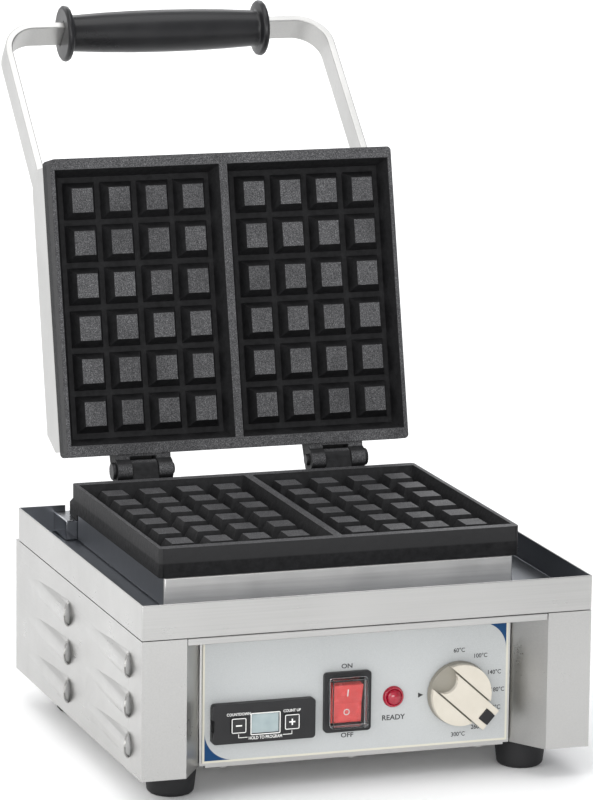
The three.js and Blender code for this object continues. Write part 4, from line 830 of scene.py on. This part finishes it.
# ---------------------------------------------------------------- power switch
# A black moulded frame that snaps into the panel, a translucent red rocker marked I and O, and a
# clear soft cover over the rocker that keeps batter and steam out.
softened("switch_body", 0.0008, case_plastic, shortest=0.004, whole=False)
rocker_red = Finish("rocker_red")
rocker_cloud = rocker_red.noise(rocker_red.place, 120.0, 2.0)
rocker_red.set(
    Base_Color=rocker_red.blend(
        rocker_red.between(rocker_cloud, 0.3, 0.7), (0.62, 0.040, 0.040, 1), (0.78, 0.075, 0.070, 1)),
    Roughness=rocker_red.between(rocker_cloud, 0.3, 0.7, 0.22, 0.30),
    Subsurface_Weight=0.15, Subsurface_Scale=0.002,
    # Painted glow: a faint red emission makes the rocker glow.
    Emission_Color=(1.0, 0.10, 0.08, 1), Emission_Strength=0.12,
)
rocker_red.bump((rocker_cloud, 0.03, 0.0002))
softened("switch_rocker", 0.0006, rocker_red.material, "rocker", shortest=0.003)
white_ink = ink("white_ink", (0.78, 0.78, 0.76))
rocker_low, rocker_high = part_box("switch_rocker")
rocker_x = (rocker_low.x + rocker_high.x) / 2
rocker_middle = (rocker_low.z + rocker_high.z) / 2
rocker_mesh = nodes["switch_rocker"].data
rocker_skin = BVHTree.FromPolygons(
    [v.co for v in rocker_mesh.vertices], [f.vertices for f in rocker_mesh.polygons])
bar_height, ring_height = 0.0072, -0.0062
bar_mark = flat_shape([soft_square(0.0004, 0.0026, 0.0002)])
ring_mark = outlined(0.0021, 0.0021, 0.00209, 0.0006)
marks = bmesh.new()
for mark, height in ((bar_mark, bar_height), (ring_mark, ring_height)):
    before_rocker = Vector((rocker_x, rocker_low.y - 0.02, rocker_middle + height))
    spot_on, facing, _, _ = rocker_skin.ray_cast(before_rocker, Vector((0, 1, 0)))
    upright = (Vector((0, 0, 1)) - facing * facing.z).normalized()
    sideways = facing.cross(upright).normalized() * -1
    turn = Matrix((sideways, upright, facing)).transposed()
    mark.transform(Matrix.Translation(spot_on + facing * ink_gap) @ turn.to_4x4())
    marks.from_mesh(mark)
bmesh.ops.recalc_face_normals(marks, faces=marks.faces)
marks_mesh = bpy.data.meshes.new("rocker_marks")
marks.to_mesh(marks_mesh)
marks.free()
marks_mesh.materials.append(white_ink)
rocker_marks = bpy.data.objects.new("rocker_marks", marks_mesh)
bpy.context.scene.collection.objects.link(rocker_marks)
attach(rocker_marks, "rocker")

clear = Finish("clear_cover")
clear_wave = clear.noise(clear.place, 160.0, 2.0)
clear.set(
    Base_Color=clear.blend(
        clear.between(clear_wave, 0.3, 0.7), (0.90, 0.93, 0.94, 1), (0.97, 0.98, 0.98, 1)),
    Roughness=clear.between(clear_wave, 0.3, 0.7, 0.03, 0.09), Transmission_Weight=1.0, IOR=1.3,
)
clear.bump((clear_wave, 0.04, 0.0002))
softened("switch_splash_cover", 0.0007, clear.material, shortest=0.004, whole=False)
finished("terminal_block", clear.material)

# ---------------------------------------------------------------- timer
# A black snap-in case with a sunk frame, a small grey display, and two keys outlined in white, joined
# by a printed bracket below. A circuit board closes it behind.
softened("timer_case", 0.0009, case_plastic, shortest=0.006, whole=False)
key_plastic = moulded_plastic("key_plastic", (0.020, 0.020, 0.021), 0.45, 0.25)
case_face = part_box("timer_case")[0].y - ink_gap
sign_reach, sign_half = 0.0021, 0.00045
stroke = 0.0002
timer_prints = []
for side, body, legend, toward in (
        ("minus", "minus_key", "COUNTDOWN", 1), ("plus", "plus_key", "COUNT UP", -1)):
    node = f"timer_key_{side}"
    softened(node, 0.0004, key_plastic, body, shortest=0.002)
    key_low, key_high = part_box(node)
    key_x, key_z = (key_low.x + key_high.x) / 2, (key_low.z + key_high.z) / 2
    half = (key_high.x - key_low.x) / 2
    key_face = key_low.y - ink_gap
    key_edge = outlined(half - 0.0004, half - 0.0004, 0.0010, 0.0005)
    level_stroke = flat_shape([soft_square(sign_reach, sign_half, stroke)])
    key_marks = [(key_edge, key_x, key_z, key_face), (level_stroke, key_x, key_z, key_face)]
    if side == "plus":
        upright_stroke = flat_shape([soft_square(sign_half, sign_reach, stroke)])
        key_marks.append((upright_stroke, key_x, key_z, key_face - 0.00002))
    laid_print(key_marks, f"timer_{side}_print", white_ink, body)
    bracket_end = flat_shape([soft_square(stroke, 0.0012, 0.0001)])
    bracket_bar = flat_shape([soft_square(0.0030, stroke, 0.0001)])
    timer_prints += [
        (words(legend, 0.0018, 0.90, 0.00003), key_x, key_z + half + 0.0021, case_face),
        (bracket_end, key_x, key_z - half - 0.0017, case_face),
        (bracket_bar, key_x + toward * 0.0030, key_z - half - 0.0028, case_face - 0.00001),
    ]
glass_low, glass_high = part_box("timer_display")
glass_x, glass_z = (glass_low.x + glass_high.x) / 2, (glass_low.z + glass_high.z) / 2
glass_gap = 0.0010
glass_edge = outlined((glass_high.x - glass_low.x) / 2 + glass_gap,
                      (glass_high.z - glass_low.z) / 2 + glass_gap, 0.0010, 0.0006)
timer_prints += [
    (words("HOLD TO PROGRAM", 0.0021, 0.80, 0.00003), glass_x, glass_z - 0.0092, case_face),
    (glass_edge, glass_x, glass_z, case_face),
]
laid_print(timer_prints, "timer_prints", white_ink, "housing")
display = Finish("display_glass")
display_wave = display.noise(display.place, 90.0, 2.0)
display.set(
    Base_Color=display.blend(
        display.between(display_wave, 0.3, 0.7), (0.30, 0.37, 0.38, 1), (0.38, 0.45, 0.46, 1)),
    Roughness=display.between(display_wave, 0.3, 0.7, 0.12, 0.2),
)
display.bump((display_wave, 0.02, 0.0002))
finished("timer_display", display.material)

# ---------------------------------------------------------------- parts inside and behind
# Wiring parts and heating parts out of sight: steel-sheathed elements held by plated clamps under
# mineral wool, a copper bulb, a glass-fibre board, a clear terminal block and a moulded cable gland.
board = Finish("board_green")
tracks = board.node("TexVoronoi", {"Vector": board.place, "Scale": 420.0}).outputs["Distance"]
board.set(
    Base_Color=board.blend(
        board.between(tracks, 0.25, 0.45), (0.010, 0.085, 0.040, 1), (0.03, 0.20, 0.10, 1)),
    Roughness=board.between(tracks, 0.1, 0.6, 0.35, 0.6),
)
board.bump((tracks, 0.1, 0.0002))
finished("timer_board", board.material)
finished("cable_gland", case_plastic)
sheath = Finish("element_sheath")
scale_marks = sheath.noise(sheath.place, 260.0, 4.0, 0.6)
sheath.set(
    Base_Color=sheath.blend(
        sheath.between(scale_marks, 0.3, 0.7), (0.10, 0.095, 0.09, 1), (0.26, 0.24, 0.22, 1)),
    Metallic=0.9, Roughness=sheath.between(scale_marks, 0.3, 0.7, 0.4, 0.6),
)
sheath.bump((scale_marks, 0.15, 0.0003))
wool = Finish("mineral_wool")
fibres = wool.noise(wool.stretched((300, 900, 300)), 1.0, 6.0, 0.7)
wool.set(
    Base_Color=wool.blend(
        wool.between(fibres, 0.3, 0.7), (0.36, 0.31, 0.18, 1), (0.60, 0.54, 0.36, 1)),
    Roughness=0.95,
)
wool.bump((fibres, 0.6, 0.001))
copper = Finish("copper_bulb")
tarnish = copper.noise(copper.place, 150.0, 4.0, 0.6)
copper.set(
    Base_Color=copper.blend(
        copper.between(tarnish, 0.35, 0.7), (0.58, 0.24, 0.12, 1), (0.30, 0.13, 0.08, 1)),
    Metallic=1.0, Roughness=copper.between(tarnish, 0.3, 0.7, 0.28, 0.5),
)
copper.bump((tarnish, 0.08, 0.0002))
for level in ("lower", "upper"):
    finished(f"{level}_heating_element", sheath.material)
    finished(f"{level}_element_clamp", zinc.material)
    finished(f"{level}_insulation", wool.material)
finished("thermostat_bulb", copper.material)
for side in ("left", "right"):
    finished(f"handle_bracket_{side}", zinc.material)
    for place in ("front", "rear"):
        finished(f"handle_bolt_{side}_{place}", zinc.material)
